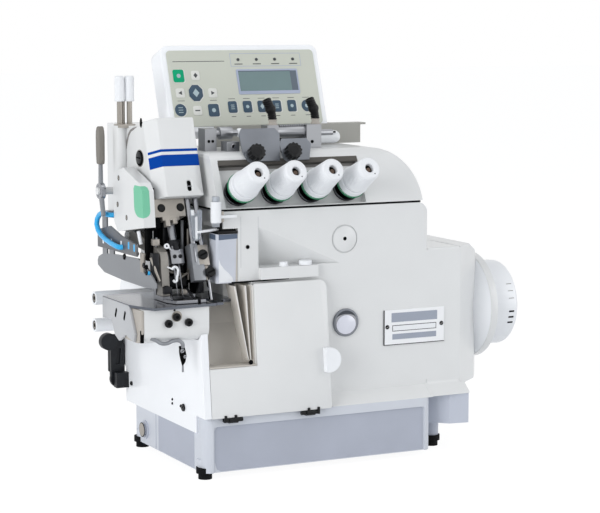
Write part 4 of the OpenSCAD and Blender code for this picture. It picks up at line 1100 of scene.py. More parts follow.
@dataclass
class TensionBank:
    """Four thread tensions: knobs, springs and pressure discs."""

    spots: tuple[float, ...] = (-76.0, -38.0, 0.0, 38.0)
    foot: float = 15.0
    length: float = 41.0
    foot_radius: float = 14.2
    taper: float = 3.4
    ridge_pitch: float = 2.3
    ridge_height: float = 0.5
    turns: int = 4
    turn_steps: int = 14
    coil: tuple[float, float, float, float] = (6.0, 3.2, 5.6, 6.6)

    def build(self) -> None:
        """Makes the four knobs and the springs and discs behind them."""
        for number, x in enumerate(self.spots, 1):
            self._knob(number, tension_place(x))
        springs = Piece("coil_springs", "frame", FIN.green, FIN.chrome, FIN.dark_steel)
        for x in self.spots:
            place = tension_place(x)
            steps = self.turns * self.turn_steps
            narrow, flare, foot, rise = self.coil
            coil = []
            for i in range(steps + 1):
                angle, share = math.tau * i / self.turn_steps, i / steps
                radius = narrow + flare * share
                coil.append((radius * math.cos(angle), radius * math.sin(angle), foot + rise * share))
            springs.at(place, 0).wire(coil, 0.8)
            for height in (2.5, 4.0):
                springs.at(place, 1).lathe(
                    [(4.0, height), (11.0, height + 0.1), (13.3, height + 0.7), (13.3, height + 1.1),
                     (11.0, height + 0.8), (4.0, height + 0.7)], 64, closed=True)
            springs.at(place, 2).lathe([(3.4, 0.1), (12.6, 0.1), (12.6, 1.4), (9.4, 2.0), (3.4, 2.6)],
                                       48, closed=True)
            springs.lathe([(7.2, 6.0), (10.8, 7.4), (10.8, 12.2), (9.9, 12.2)], 48, closed=True)
        springs.done("tension_springs")
        # Painted shade: a dark band on the panel just above its recess and a shadow strip on the recess floor
        # stand for the shade under the panel's upper lip.
        panel = tilted(panel_place(0), 90, "X")
        shade = Piece("panel_shade", "frame", FIN.panel_painted_shade, FIN.seam).at(panel)
        shade.box((-91.6, 43.4, -5.9), (54.6, 48.4, 0.08), 0.05)
        shade.at(panel, 1).box((-91.8, 40.4, -6.05), (54.6, 43.6, -5.8), 0, 1)
        shade.done()

    def _knob(self, number: int, place: Matrix) -> None:
        """Makes one white knob with its green collar and dark bore.

        Args:
            number: Which knob, from 1.
            place: Frame of its post.
        """
        start = self.foot
        knob = Piece(f"tension_barrel_{number}", f"tension_{number}", FIN.knob, FIN.green, FIN.void,
                     FIN.knob_shade, FIN.pin)
        knob.at(place, 1).lathe([(5.0, start - 0.9), (14.7, start - 0.9), (14.9, start - 0.2),
                                 (14.9, start + 0.5), (5.0, start + 0.5)], 64, closed=True)
        knob.at(place, 1).lathe(square(13.0, start + 1.5, 14.6, start + 2.1), 64, closed=True)
        profile = [(3.4, start + 0.1), (14.2, start + 0.1), (14.4, start + 1.4), (14.2, start + 8.4),
                   (13.6, start + 9.0), (12.2, start + 9.3), (12.2, start + 10.3), (13.3, start + 10.6)]
        height = start + 11.4
        top = start + self.length - 3.0
        while height < top:
            share = (height - start) / self.length
            base = self.foot_radius - self.taper * share
            profile += [(base, height), (base, height + self.ridge_pitch * 0.6),
                        (base - self.ridge_height, height + self.ridge_pitch * 0.8)]
            height += self.ridge_pitch
        end = start + self.length
        profile += [(11.2, end - 2.6), (10.7, end - 1.0), (9.7, end - 0.1), (8.6, end),
                    (5.2, end), (4.3, end - 0.8), (4.3, end - 6.0), (3.4, end - 6.0)]
        knob.at(place, 0).lathe(profile, 72, closed=True)
        # Painted shade: a black disc deep in the bore.
        knob.at(place, 2).lathe(square(0, end - 6.4, 4.25, end - 5.6), 32)
        knob.at(place, 3).lathe(square(12.15, start + 9.2, 12.5, start + 10.4), 64, closed=True)
        knob.at(moved(place, 0.4, -0.6, 0), 4).lathe(
            [(0, end - 5.8), (2.2, end - 5.8), (2.2, end - 4.0), (1.7, end - 3.6), (0, end - 3.6)], 32)
        knob.at(moved(place, 4.2, -5.9, 0), 2).lathe(square(0, end - 0.3, 0.6, end + 0.02), 16)
        knob.done(f"tension_knob_{number}")


@dataclass
class ThreadAids:
    """Rail, clamp heads, elbows and small blocks on the lid."""

    rail_y: float = -20.0
    rail_z: float = 311.0
    rail_front: float = -27.05
    teeth: int = 14
    tooth_pitch: float = 1.9
    rib_pitch: float = 2.1
    elbows: tuple[float, ...] = (-20.0, 26.0)
    clamps: tuple[float, ...] = (-57.0, -19.0)
    grip_steps: int = 72
    grip_ridges: int = 12

    def build(self) -> None:
        """Makes the fittings that stand on the lid."""
        self._elbows()
        self._rail()
        self._clamps()

    def _elbows(self) -> None:
        """Makes two ribbed black elbows on pale stepped feet."""
        piece = Piece("hose_elbows", "frame", FIN.black, FIN.beige, FIN.void)
        for x in self.elbows:
            foot = moved(upright(), x + 2, self.rail_y, self.rail_z + 6.5)
            piece.at(foot, 1).lathe([(0, -2), (4.6, -2), (4.6, 1.4), (3.8, 1.8), (3.8, 4.0), (4.6, 4.4),
                                     (4.6, 5.2), (0, 5.2)], 40)
            lower = tilted(moved(foot, 0, 0, 4.8), -10, "Y")
            piece.at(lower, 0).lathe(self._ribs(4.2, 5), 40)
            piece.at(foot, 0).ball((-2.2, 0, 15.0), 5.2)
            upper = tilted(moved(foot, -2.2, 0, 15.0), -26, "Y")
            piece.at(upper, 0).lathe(self._ribs(4.6, 5), 40)
            # Painted shade: a black disc in the open end of each elbow.
            piece.at(upper, 2).lathe(square(0, 10.4, 3.2, 10.7), 32)
        piece.done("air_elbows")

    def _ribs(self, radius: float, count: int) -> list[Point]:
        """Draws a ribbed sleeve.

        Args:
            radius: Radius over the ribs.
            count: Number of ribs.

        Returns:
            Its profile from the foot up.
        """
        line = [(0, 0)]
        for i in range(count):
            z = i * self.rib_pitch
            line += [(radius - 0.5, z), (radius, z + 0.5), (radius, z + 1.4), (radius - 0.5, z + 1.9)]
        top = count * self.rib_pitch
        return line + [(radius - 0.6, top), (0, top)]

    def _rail(self) -> None:
        """Adds the clamp cylinder, the toothed top and the small blocks along the rail."""
        piece = Piece("rail_fittings", "frame", FIN.aluminium, FIN.void, FIN.chrome, FIN.plastic)
        spot = tilted(moved(upright(), 34, 8, 302.6), 90, "Y")
        piece.at(spot, 3).lathe([(0, 0), (6.2, 0), (6.4, 0.6), (6.4, 28), (5.8, 31), (4.2, 33.4),
                                 (2.0, 34.6), (0, 35)], 48)
        for depth in (-2.2, 2.6):
            piece.at(upright(), 1).box((50, 1.2 + depth * 0.3, 304.6 - depth), (61, 2.4, 306.3 - depth), 0.3)
        for i in range(self.teeth):
            x = -12.0 + i * self.tooth_pitch
            piece.at(upright(), 2).box((x, -24.4, 316.2), (x + 1.0, -15.6, 317.5), 0.2)
        # Painted shadow: a black strip on the lid under the front of the rail.
        piece.at(upright(), 1).box((-14.5, -27.6, 302.2), (13.5, -25.6, 305.2), 0.2)
        piece.at(upright(), 3).ball((-53, -20, 311), 4.4)
        piece.at(upright(), 2).rod((-50, -20, 311), (-27, -20, 311), 2.2)
        for x in (-88.0, -84.0):
            piece.at(facing_front(x, self.rail_front, 304), 1).screw((0, 0, 0), 1.4, 0.5, 0.4)
        piece.at(facing_front(-69.5, -42.05, 299.6), 2).screw((0, 0, 0), 2.6, 1.0, 1.1, slot_tone=1)
        for x, y in ((20.0, -29.05), (-21.0, self.rail_front)):
            piece.at(facing_front(x, y, 301), 1).screw((0, 0, 0), 1.6, 0.5, 0.9)
        piece.done()

    def _clamps(self) -> None:
        """Gives the two clamp knobs a finer grip and a hub."""
        for number, x in enumerate(self.clamps, 1):
            place = moved(crest_place(x), 0, 0, 10.5)
            knob = Piece(f"clamp_head_{number}", f"clamp_{number}", FIN.black)
            outline = []
            for i in range(self.grip_steps):
                angle = math.tau * i / self.grip_steps
                radius = 7.5 + 0.6 * math.cos(self.grip_ridges * angle)
                outline.append((radius * math.cos(angle), radius * math.sin(angle)))
            knob.at(place).prism(outline, 0.6, 8.8, 0.35)
            knob.lathe(square(0, 0, 5.4, 0.8), 32)
            knob.lathe([(0, 8.7), (4.6, 8.7), (4.2, 9.0), (0, 8.9)], 32)
            knob.done(f"clamp_knob_{number}")


@dataclass
class AirHose:
    """The short blue hose looped behind the needle side, held at both ends."""

    bore: float = 0.005
    route: tuple[Point, ...] = (
        (-150, 26, 233), (-166.5, 26, 233), (-168.9, 28, 233.3), (-169.5, 32, 233.8),
        (-169.5, 42, 234), (-169.5, 50, 231.5), (-169.5, 56, 227), (-169.5, 58, 221.5),
        (-169.5, 54, 216), (-169.5, 46, 212), (-169.5, 34, 209), (-169.5, 18, 206.5),
        (-169.5, 4, 205.3), (-168.9, -0.5, 205), (-166, -1, 205),
    )

    def build(self) -> None:
        spots = [Vector(spot) * MM for spot in self.route]
        curve = bpy.data.curves.new("blue_hose", "CURVE")
        curve.dimensions = "3D"
        curve.bevel_depth = self.bore / 2
        curve.bevel_resolution = 5
        curve.use_fill_caps = True
        line = curve.splines.new("POLY")
        line.points.add(len(spots) - 1)
        for knot, spot in zip(line.points, spots):
            knot.co = (*spot, 1)
        curve.materials.append(FIN.hose.material())
        hose = bpy.data.objects.new("blue_hose", curve)
        bpy.context.scene.collection.objects.link(hose)
        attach(hose, "frame")
        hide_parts("cooling_hose")


@dataclass
class LiftAndPressure:
    """Presser lift lever on the left and the two pressure caps on the arm."""

    lever_x: float = -175.0
    pivot: tuple[float, float] = (31.0, 256.0)
    caps: tuple[float, float] = (-155.0, -145.0)
    caps_y: float = 31.0
    arm_top: float = 318.0
    grip_line: tuple[Point, ...] = (
        (4.0, 25.6), (5.0, 30), (5.2, 52), (4.4, 57.4), (2.2, 61), (0, 61.8), (-2.4, 61), (-4.6, 57.2),
        (-5.2, 51), (-4.8, 34), (-3.6, 25.6),
    )

    def build(self) -> None:
        """Makes the lever and both caps."""
        self._lever()
        for number, x in enumerate(self.caps, 1):
            place = moved(upright(), x, self.caps_y, self.arm_top)
            cap = Piece(f"pressure_cap_{number}", f"pressure_{number}", FIN.grey_steel, FIN.knob)
            cap.at(place).lathe(square(0, -15.5, 2.6, 24), 32)
            cap.at(place, 1).lathe([(0, 22.6), (4.2, 22.6), (4.7, 23.2), (4.7, 24.6), (4.5, 25.4),
                                    (4.7, 44.0), (4.4, 46.2), (3.4, 47), (0, 47)], 40)
            cap.done(f"pressure_screw_{number}")
        third = Piece("pressure_rod", "frame", FIN.grey_steel)
        third.at(moved(upright(), -149.9, 34.4, self.arm_top))
        third.lathe(square(0, -6, 1.5, 24), 24)
        third.at(moved(upright(), -150, self.caps_y, self.arm_top))
        third.lathe([(0, -2), (10.4, -2), (10.4, 0.6), (9.8, 1.2), (0, 1.2)], 48)
        third.done()

    def _lever(self) -> None:
        """Makes the leaf-shaped grip, the flat bar and the pivot."""
        place = facing_left(self.lever_x, *self.pivot)
        lever = Piece("lift_handle", "lever", FIN.sheet, FIN.grip, FIN.chrome, FIN.void)
        lever.at(place, 1).prism(self.grip_line, -3, 3, 1.1)
        lever.at(place, 0).prism([(-3, 0), (3.2, 0), (2.4, 27), (-2, 27)], -1.5, 1.5, 0.4)
        lever.prism([(-4, 0), (4, 0), (8.8, -22.8), (4, -24)], -1.5, 1.5, 0.4)
        lever.at(place, 2).lathe([(3.7, -2.5), (8.0, -2.5), (8.0, 1.6), (7.2, 2.5), (5.6, 2.5),
                                  (5.2, 1.9), (3.7, 1.9)], 48, closed=True)
        lever.at(place, 3).lathe(square(0, 0.4, 3.9, 1.2), 32)
        lever.at(place, 2).screw((0, 0, 1.0), 2.4, 1.2, 0.7, slot_tone=3)
        lever.done("lift_lever")


@dataclass
class NeedleSide:
    """Thread guides, knife block, clamps and dark workings round the needles."""

    knife_rods: tuple[float, float] = (32.0, 40.0)
    knife_bolts: tuple[Point, ...] = ((38.6, 5.6, -55, 4.7, -1), (43.2, 4, -72, 4.6, -8))
    bar: tuple[float, float] = (17.0, 19.4)
    fork: Point = (-118.6, -66, 0)
    fork_line: tuple[Point, ...] = (
        (-5.8, 243.6), (-4.6, 244.6), (-2.4, 244.4), (-1.6, 240.8), (1.4, 240.6), (2.2, 244), (4.6, 244.4),
        (5.7, 243), (5.4, 226), (3.2, 217), (0.6, 215), (-2.2, 216), (-4.4, 224),
    )
    ring: Point = (-141.0, -68, 185.6)
    ring_route: tuple[Point, ...] = (
        (-2.6, 4.4, 0), (-1.6, 6.2, 0), (1.4, 6.6, 0), (3.0, 4.6, 0), (3.1, 0.6, 0), (2.2, -3.4, 0),
        (2.0, -6.2, 0), (0.2, -7.0, 0), (-1.4, -5.4, 0),
    )
    guide_blocks: tuple[Row, ...] = (
        (BOX, 1, (4.5, 7.2, -20.5), (21.5, 16, -16.5), 0.4),
        (BOX, 1, (7, 6.8, -26), (11.5, 13, -19), 0.4),
        (BOX, 1, (14.5, 6.8, -24), (19, 13, -19), 0.4),
        (BOX, 2, (-2.6, 9, -26.5), (2.5, 22, -17.2), 0.4),
    )
    knife_blocks: tuple[Row, ...] = (
        (BOX, 4, (27, 5, -65), (34.4, 18, -44), 0.5),
        (BOX, 0, (34, 5.8, -65), (45, 18, -45.5), 0.5),
        (BOX, 4, (27, 5, -79), (39, 15, -64), 0.5),
        (BOX, 0, (40, 7, -79), (43, 11, -64), 0.2),
    )
    workings: tuple[Row, ...] = (
        (BOX, 0, (-141, -34, 172), (-110.5, -29, 231), 0.8),
        (BOX, 0, (-112, -46, 163), (-104, -34, 222), 0.8),
        (BOX, 1, (-139, -37, 196), (-134, -33, 232), 0.6),
        (BOX, 2, (-131.5, -38, 186), (-128.6, -33.6, 228), 0.5),
        (BOX, 1, (-127, -39, 178), (-119.5, -33, 214), 0.6),
        (ROD, 3, (-121.5, -40, 190), (-121.5, -40, 232), 1.7),
        (ROD, 2, (-116.2, -41, 176), (-116.2, -41, 224), 1.3),
        (BOX, 1, (-142, -42, 170), (-118, -35, 180), 0.6),
        (ROD, 2, (-140, -41, 186), (-120, -41, 181), 1.5),
        (BOX, 0, (-158, -44, 196), (-152.4, -36, 226), 0.6),
        (BOX, 0, (-142.6, -30, 166), (-111, -20, 236), 0.6),
    )
    lower_workings: tuple[Row, ...] = (
        (ROD, 2, (-128, -46, 178), (-114, -46, 186), 1.2),
        (BOX, 2, (-164, -48, 186), (-161.6, -40, 204), 0.4),
        (BOX, 1, (-159.5, -61, 181), (-153.4, -53, 205), 0.8),
        (ROD, 2, (-160.4, -58, 201), (-154, -63, 179), 1.3),
    )
    foot_blocks: tuple[Row, ...] = (
        (BOX, 0, (-151, -67, 167.5), (-143, -60, 174), 0.5),
        (BOX, 1, (-143, -58, 165), (-139.6, -50, 173), 0.6),
        (BOX, 1, (-129.0, -58, 165), (-126.5, -50, 173), 0.6),
        (BOX, 3, (-129.6, -60, 164.8), (-124.8, -54, 170), 0.5),
        (ROD, 2, (-149, -80, 163.4), (-143.4, -64, 169), 1.0),
        (ROD, 0, (-126.6, -79, 164), (-126.6, -62, 171.0), 1.2),
    )
    foot_stem: tuple[Row, ...] = (
        (ROD, 4, (-143.4, -68, 190.6), (-145.2, -58, 192), 0.8),
        (BOX, 3, (-155.4, -52, 211), (-149.0, -46, 217), 0.5),
        (ROD, 5, (-152, -50, 210), (-151.4, -50, 218.4), 0.9),
    )

    def build(self) -> None:
        """Makes the needle-side fittings."""
        head = Leaning("head_cover").matrix()
        self._bar_guide(head)
        self._clamp(head)
        self._knife(head)
        self._workings()
        self._guides()
        self._foot()

    def _bar_guide(self, head: Matrix) -> None:
        """Sinks two black bolts in the bar guide and hangs a small block under it.

        Args:
            head: Frame that leans with the head.
        """
        guide = Piece("guide_bolts", "frame", FIN.black, FIN.grey_steel, FIN.void)
        for x in (5.0, 24.0):
            bolt = tilted(moved(head, x, 8.0, -8.5), 90, "X")
            # Painted shade: a black disc under each bolt head stands for the shade in its counterbore.
            guide.at(bolt, 2).lathe(square(0, -1.8, 3.9, 0.1), 32)
            guide.at(bolt, 0).screw((0, 0, -0.2), 3.2, 0.9, 0.7)
        guide.rows(head, self.guide_blocks)
        guide.done()

    def _clamp(self, head: Matrix) -> None:
        """Wraps a pale thread clamp round the needle bar and shows the needle screws.

        Args:
            head: Frame that leans with the head.
        """
        x, y = self.bar
        clamp = Piece("needle_clamp", "needle_drive", FIN.steel, FIN.knob, FIN.void, FIN.dark_steel)
        clamp.at(moved(head, x, y, -40), 3).lathe(square(3.7, -3, 5.6, 2.4), 32, closed=True)
        clamp.at(moved(head, x, y, -49), 0).lathe(square(4.0, 0, 5.2, 2), 32, closed=True)
        face = tilted(moved(head, x, y - 5.5, -53.6), 90, "X")
        for side in (-2.8, 2.8):
            clamp.at(face, 3).screw((side, 0, -0.1), 1.9, 1.1, 0.9, slot_tone=2)
        clamp.at(head, 0).box((x - 6.6, y - 5.5, -60.4), (x + 6.4, y + 5.4, -46.6), 0.5)
        clamp.at(head, 3).box((x - 2.4, y - 6.4, -47.4), (x + 2.4, y - 3, -40), 0.4)
        for side in (-2.6, 2.6):
            clamp.at(head, 0).rod((x + side, y, -74), (x + side, y, -60), 1.0)
            clamp.at(head, 0).rod((x + side, y, -91), (x + side, y, -73.5), 0.1, 0.62, 16, 0)
        clamp.at(head, 0).rod((x, y, -48), (x, y, 55), 3.6)
        eye = tilted(moved(head, 4.4, 6.2, -45), 90, "X")
        clamp.at(eye, 1).lathe(square(1.1, -0.8, 2.5, 0.8), 32, closed=True)
        clamp.at(head, 1).rod((6.5, 6.4, -46), (13.5, 17, -48), 0.8)
        clamp.done("needle_bar")

    def _knife(self, head: Matrix) -> None:
        """Builds the knife holder, its two rods, both black bolts and the blade.

        Args:
            head: Frame that leans with the head.
        """
        knife = Piece("knife_holder", "knife", FIN.grey_steel, FIN.chrome, FIN.black, FIN.void, FIN.sheet)
        for x in self.knife_rods:
            knife.at(head, 1).rod((x, 9, -50), (x, 9, 28), 2.5)
        knife.rows(head, self.knife_blocks)
        knife.at(head, 1).box((41, 7, -97.5), (43, 11, -75), 0.15)
        for x, y, z, radius, foot in self.knife_bolts:
            bolt = tilted(moved(head, x, y, z), 90, "X")
            knife.at(bolt, 2).lathe(
                [(0, foot), (radius, foot), (radius, 2.0), (radius - 0.6, 2.7), (0, 2.7)], 40)
            wide = radius * 0.8
            knife.at(tilted(bolt, 22, "Z"), 3).box((-wide, -0.7, 2.5), (wide, 0.7, 2.76), 0.05)
        knife.at(head, 1).box((30.2, 4.2, -62), (31.4, 5.2, -47), 0.2)
        knife.done("upper_knife")

    def _workings(self) -> None:
        """Fills the room behind the needles with the dark looper workings, partly real dark parts and partly
        painted shade: the black boxes, the large one at the back among them, stand for the shade in that
        room.
        """
        dark = Piece("looper_workings", "frame", FIN.void, FIN.dark_steel, FIN.grey_steel, FIN.sheet)
        dark.rows(upright(), self.workings)
        dark.at(upright(), 1).hull([(-111, -50, 164), (-104, -50, 164), (-104, -50, 186), (-108, -50, 176),
                                    (-111, -40, 164), (-104, -40, 164), (-104, -40, 190)], 0.3)
        dark.rows(upright(), self.lower_workings)
        for y, z in ((-49, 193), (-55, 187)):
            dark.at(facing_left(-163.5, y, z), 1).screw((0, 0, 0), 2.6, 1.2, 0.4, slot_tone=0)
        dark.done()

    def _guides(self) -> None:
        """Adds the clear forked guide and its pins."""
        guides = Piece("thread_guides", "frame", FIN.knob, FIN.frosted)
        fork = facing_front(*self.fork)
        guides.at(fork, 1).prism(self.fork_line, -1.6, 1.6, 0.4)
        guides.at(fork, 0).prism(
            [(-5.8, 243.6), (-4.9, 244.4), (-2.4, 244.2), (-2.0, 239), (-5.0, 239)], 1.0, 2.0, 0.2)
        guides.at(fork, 0).box((-1.4, 217, 1.2), (1.0, 238, 2.2), 0.3)
        guides.at(upright(), 0).rod((-118.6, -68, 223.4), (-97, -68, 225.2), 1.25)
        guides.at(upright(), 0).rod((-165.2, -40, 224), (-162.8, -40, 211.8), 1.7)
        guides.done()

    def _foot(self) -> None:
        """Gives the presser its white wire ring, small block, toe and dark blocks."""
        foot = Piece("foot_blocks", "presser", FIN.dark_steel, FIN.void, FIN.chrome, FIN.grey_steel,
                     FIN.knob, FIN.sheet)
        foot.rows(upright(), self.foot_blocks)
        foot.at(upright(), 0).screw((-147.4, -63.5, 173.6), 2.2, 1.2, 0.4, slot_tone=1)
        foot.at(facing_front(*self.ring), 4).wire(self.ring_route, 1.15)
        foot.rows(upright(), self.foot_stem)
        foot.done()


@dataclass
class Tank:
    """Frosted thread tank, its black cap and the white stand beside it."""

    sides: tuple[float, float] = (-101.5, -80.0)
    depth: tuple[float, float] = (-74.0, -58.0)
    top: float = 221.0
    front_tones: tuple[tuple[int, tuple[Point, ...], float], ...] = (
        (1, ((-99.3, 215.6), (-80.3, 216.4), (-80.3, 220.6), (-99.3, 220.6)), 0.1),
        (2, ((-99.3, 176), (-84.5, 176), (-85.4, 180), (-89, 184), (-94, 188.5), (-97.4, 193),
             (-99.3, 198)), 0.1),
        (3, ((-82.4, 176), (-80.3, 176), (-80.3, 216), (-81.2, 216)), 0.08),
    )
    side_tone: tuple[Point, ...] = ((58.4, 216), (71.8, 215.6), (71.8, 220.6), (58.4, 220.6))
    stand: Point = (-104.6, -80, 229)
    column_front: float = -75.0
    column_seams: tuple[float, float] = (-77.2, -59.4)

    def build(self) -> None:
        """Makes the tank's tones, the cap and the stand."""
        x0, x1 = self.sides
        y0, y1 = self.depth
        z1 = self.top
        tones = Piece("tank_tones", "frame", FIN.tank_mist, FIN.tank_band, FIN.knob, FIN.chute_shade)
        front = facing_front(0, y0, 0)
        for tone, outline, rise in self.front_tones:
            tones.at(front, tone).prism(outline, SINK, rise, 0)
        tones.at(facing_left(x0, 0, 0), 1).prism(self.side_tone, SINK, 0.1, 0)
        tones.done()
        cap = Piece("tank_stand", "frame", FIN.black, FIN.knob, FIN.frosted, FIN.void, FIN.grey_steel)
        cap.rows(upright(), (
            (BOX, 0, (x0 + 1, y0 - 1, z1), (x1, y1, z1 + 3), 0.7),
            (BOX, 0, (-96.4, y0 + 1, z1 + 2), (-83, y1 - 1, 237), 1.2),
            (BOX, 3, (-93, y0 + 3, z1 + 5), (-83, y1 - 3, 226), 0.4),
            (ROD, 0, (-95.2, -70, 229), (-86, -70, 232.4), 3.0),
            (ROD, 3, (-97.6, -70, 226), (-97.6, -64, 244), 1.4),
        ))
        stand = moved(upright(), *self.stand)
        cap.at(stand, 1).lathe([(0, 3.6), (4.6, 3.6), (5.0, 4.2), (5.0, 22.4), (4.4, 23.2), (0, 23.2)], 40)
        cap.at(stand, 2).lathe(square(0, 23.2, 3.4, 28), 32)
        cap.at(stand, 2).lathe(square(0, 0, 3.4, 3.6), 32)
        cap.at(upright(), 1).box((-103.4, -82, 236.6), (-84, -75, 239.4), 0.5)
        cap.at(upright(), 4).rod((-98, -79.4, 233), (-98, -79.4, 243), 1.5)
        cap.done("tank_cap")
        column = Piece("column_marks", "frame", FIN.seam_light, FIN.void)
        for x in self.column_seams:
            column.at(facing_front(x, self.column_front, 0), 0)
            column.prism(square(-0.3, 189, 0.3, 236), SINK, 0.1, 0)
        column.at(facing_front(-70.3, self.column_front, 208), 1).screw((0, 0, 0), 1.9, 0.6, 0.4)
        column.done()


@dataclass
class BedFittings:
    """Bolts, folds, tube and clip round the cylinder bed."""

    front: float = -87.0
    bolts: tuple[tuple[float, float], ...] = ((-155.8, 143.5), (-147.8, 149.2), (-136.0, 143.5))
    fold_x: float = -184.5
    fold_line: tuple[Point, ...] = (
        (-4, 158.6), (62, 158.6), (64, 157), (77.2, 134), (74.2, 126.6), (54, 130.7), (38, 122.7),
        (28, 126.7), (18, 140.8), (-4, 138.8),
    )
    tube_route: tuple[Point, ...] = (
        (-172, -84, 130.6), (-167, -85, 128.4), (-162, -85, 125.4), (-156, -85, 125.0),
        (-150, -84, 126.6), (-144, -84, 126.4), (-140.6, -84, 123.4), (-139.8, -83, 119.6),
    )
    clip: Point = (-139.4, -82, 0)
    clip_screws: tuple[Point, ...] = ((-1.0, 116.6, 2.1, 0.8, 0.7), (1.6, 111, 1.6, 0.7, 0.2))
    cover_x: float = -123.0
    cover_screws: tuple[Point, ...] = (
        (87.7, 56.2, 2.2), (-44.5, 55.3, 3.6), (-17.2, 58.4, 1.3), (-17.1, 54.4, 1.3),
        (60.0, 150.0, 3.0), (-38.0, 55.6, 1.5),
    )

    def build(self) -> None:
        """Makes the bed's fittings."""
        bed = Piece("bed_bolts", "frame", FIN.black, FIN.void, FIN.grey_steel)
        for number, (x, z) in enumerate(self.bolts):
            spot = facing_front(x, self.front - 2.0, z)
            if number == 1:
                bed.at(moved(spot, 0.6, 0.4, -2.2), 2).lathe(square(0, 0, 5.0, 0.7), 40)
            bed.at(spot, 0).lathe([(0, -1.6), (3.7, -1.6), (3.7, 0.6), (3.1, 1.0), (0, 1.0)], 40)
            # Painted shade: a black hexagon stands for the shade in each bolt's socket.
            bed.at(spot, 1).lathe(square(0, 0.6, 1.7, 1.08), 6)
        bed.at(facing_front(-149.4, self.front, 155.4), 1).screw((0, 0, -0.6), 1.3, 0.75, 0.2)
        bed.done()
        fold = Piece("fold_skin", "frame", FIN.fold, FIN.void)
        fold.at(facing_left(self.fold_x, 0, 0)).prism(self.fold_line, -2.3, 0.35, 0.1)
        for y in (-31.0, -53.0):
            fold.at(tilted(facing_left(self.fold_x - 0.3, y, 148), -24, "Z"), 1).prism(
                rounded(-1.8, -4.8, 1.8, 4.8, 1.7, 4), -0.2, 0.15, 0)
        fold.at(upright(), 1).box((-182.4, -86.2, 127), (-179.1, -84.4, 138.5), 0.3)
        fold.done()
        tube = Piece("bed_tube", "frame", FIN.sheet, FIN.void, FIN.chrome)
        tube.at(upright(), 0).wire(self.tube_route, 1.8)
        clip = facing_front(*self.clip)
        tube.at(clip, 1).prism([(-3.6, 121), (1.4, 121), (3.4, 112), (2.2, 106), (-0.4, 102.4),
                                (-1.8, 107), (-3.2, 113)], -1.4, 1.2, 0.4)
        for x, z, radius, height, turn in self.clip_screws:
            tube.at(moved(clip, x, z, 1.2), 2).screw((0, 0, 0), radius, height, turn, slot_tone=1)
        tube.at(clip, 0).box((-0.8, 96.6, -1), (0.8, 103, 0.4), 0.2)
        tube.done()
        self._screws()

    def _screws(self) -> None:
        """Sinks the end cover's screws where the castings carry them."""
        screws = Piece("machine_screws", "frame", FIN.dark_steel, FIN.void)
        for y, z, radius in self.cover_screws:
            spot = facing_left(self.cover_x, y, z)
            screws.at(spot, 0).screw((0, 0, -0.4), radius, min(radius, 2.0), 0.6, slot_tone=1)
        screws.done("frame_screws")


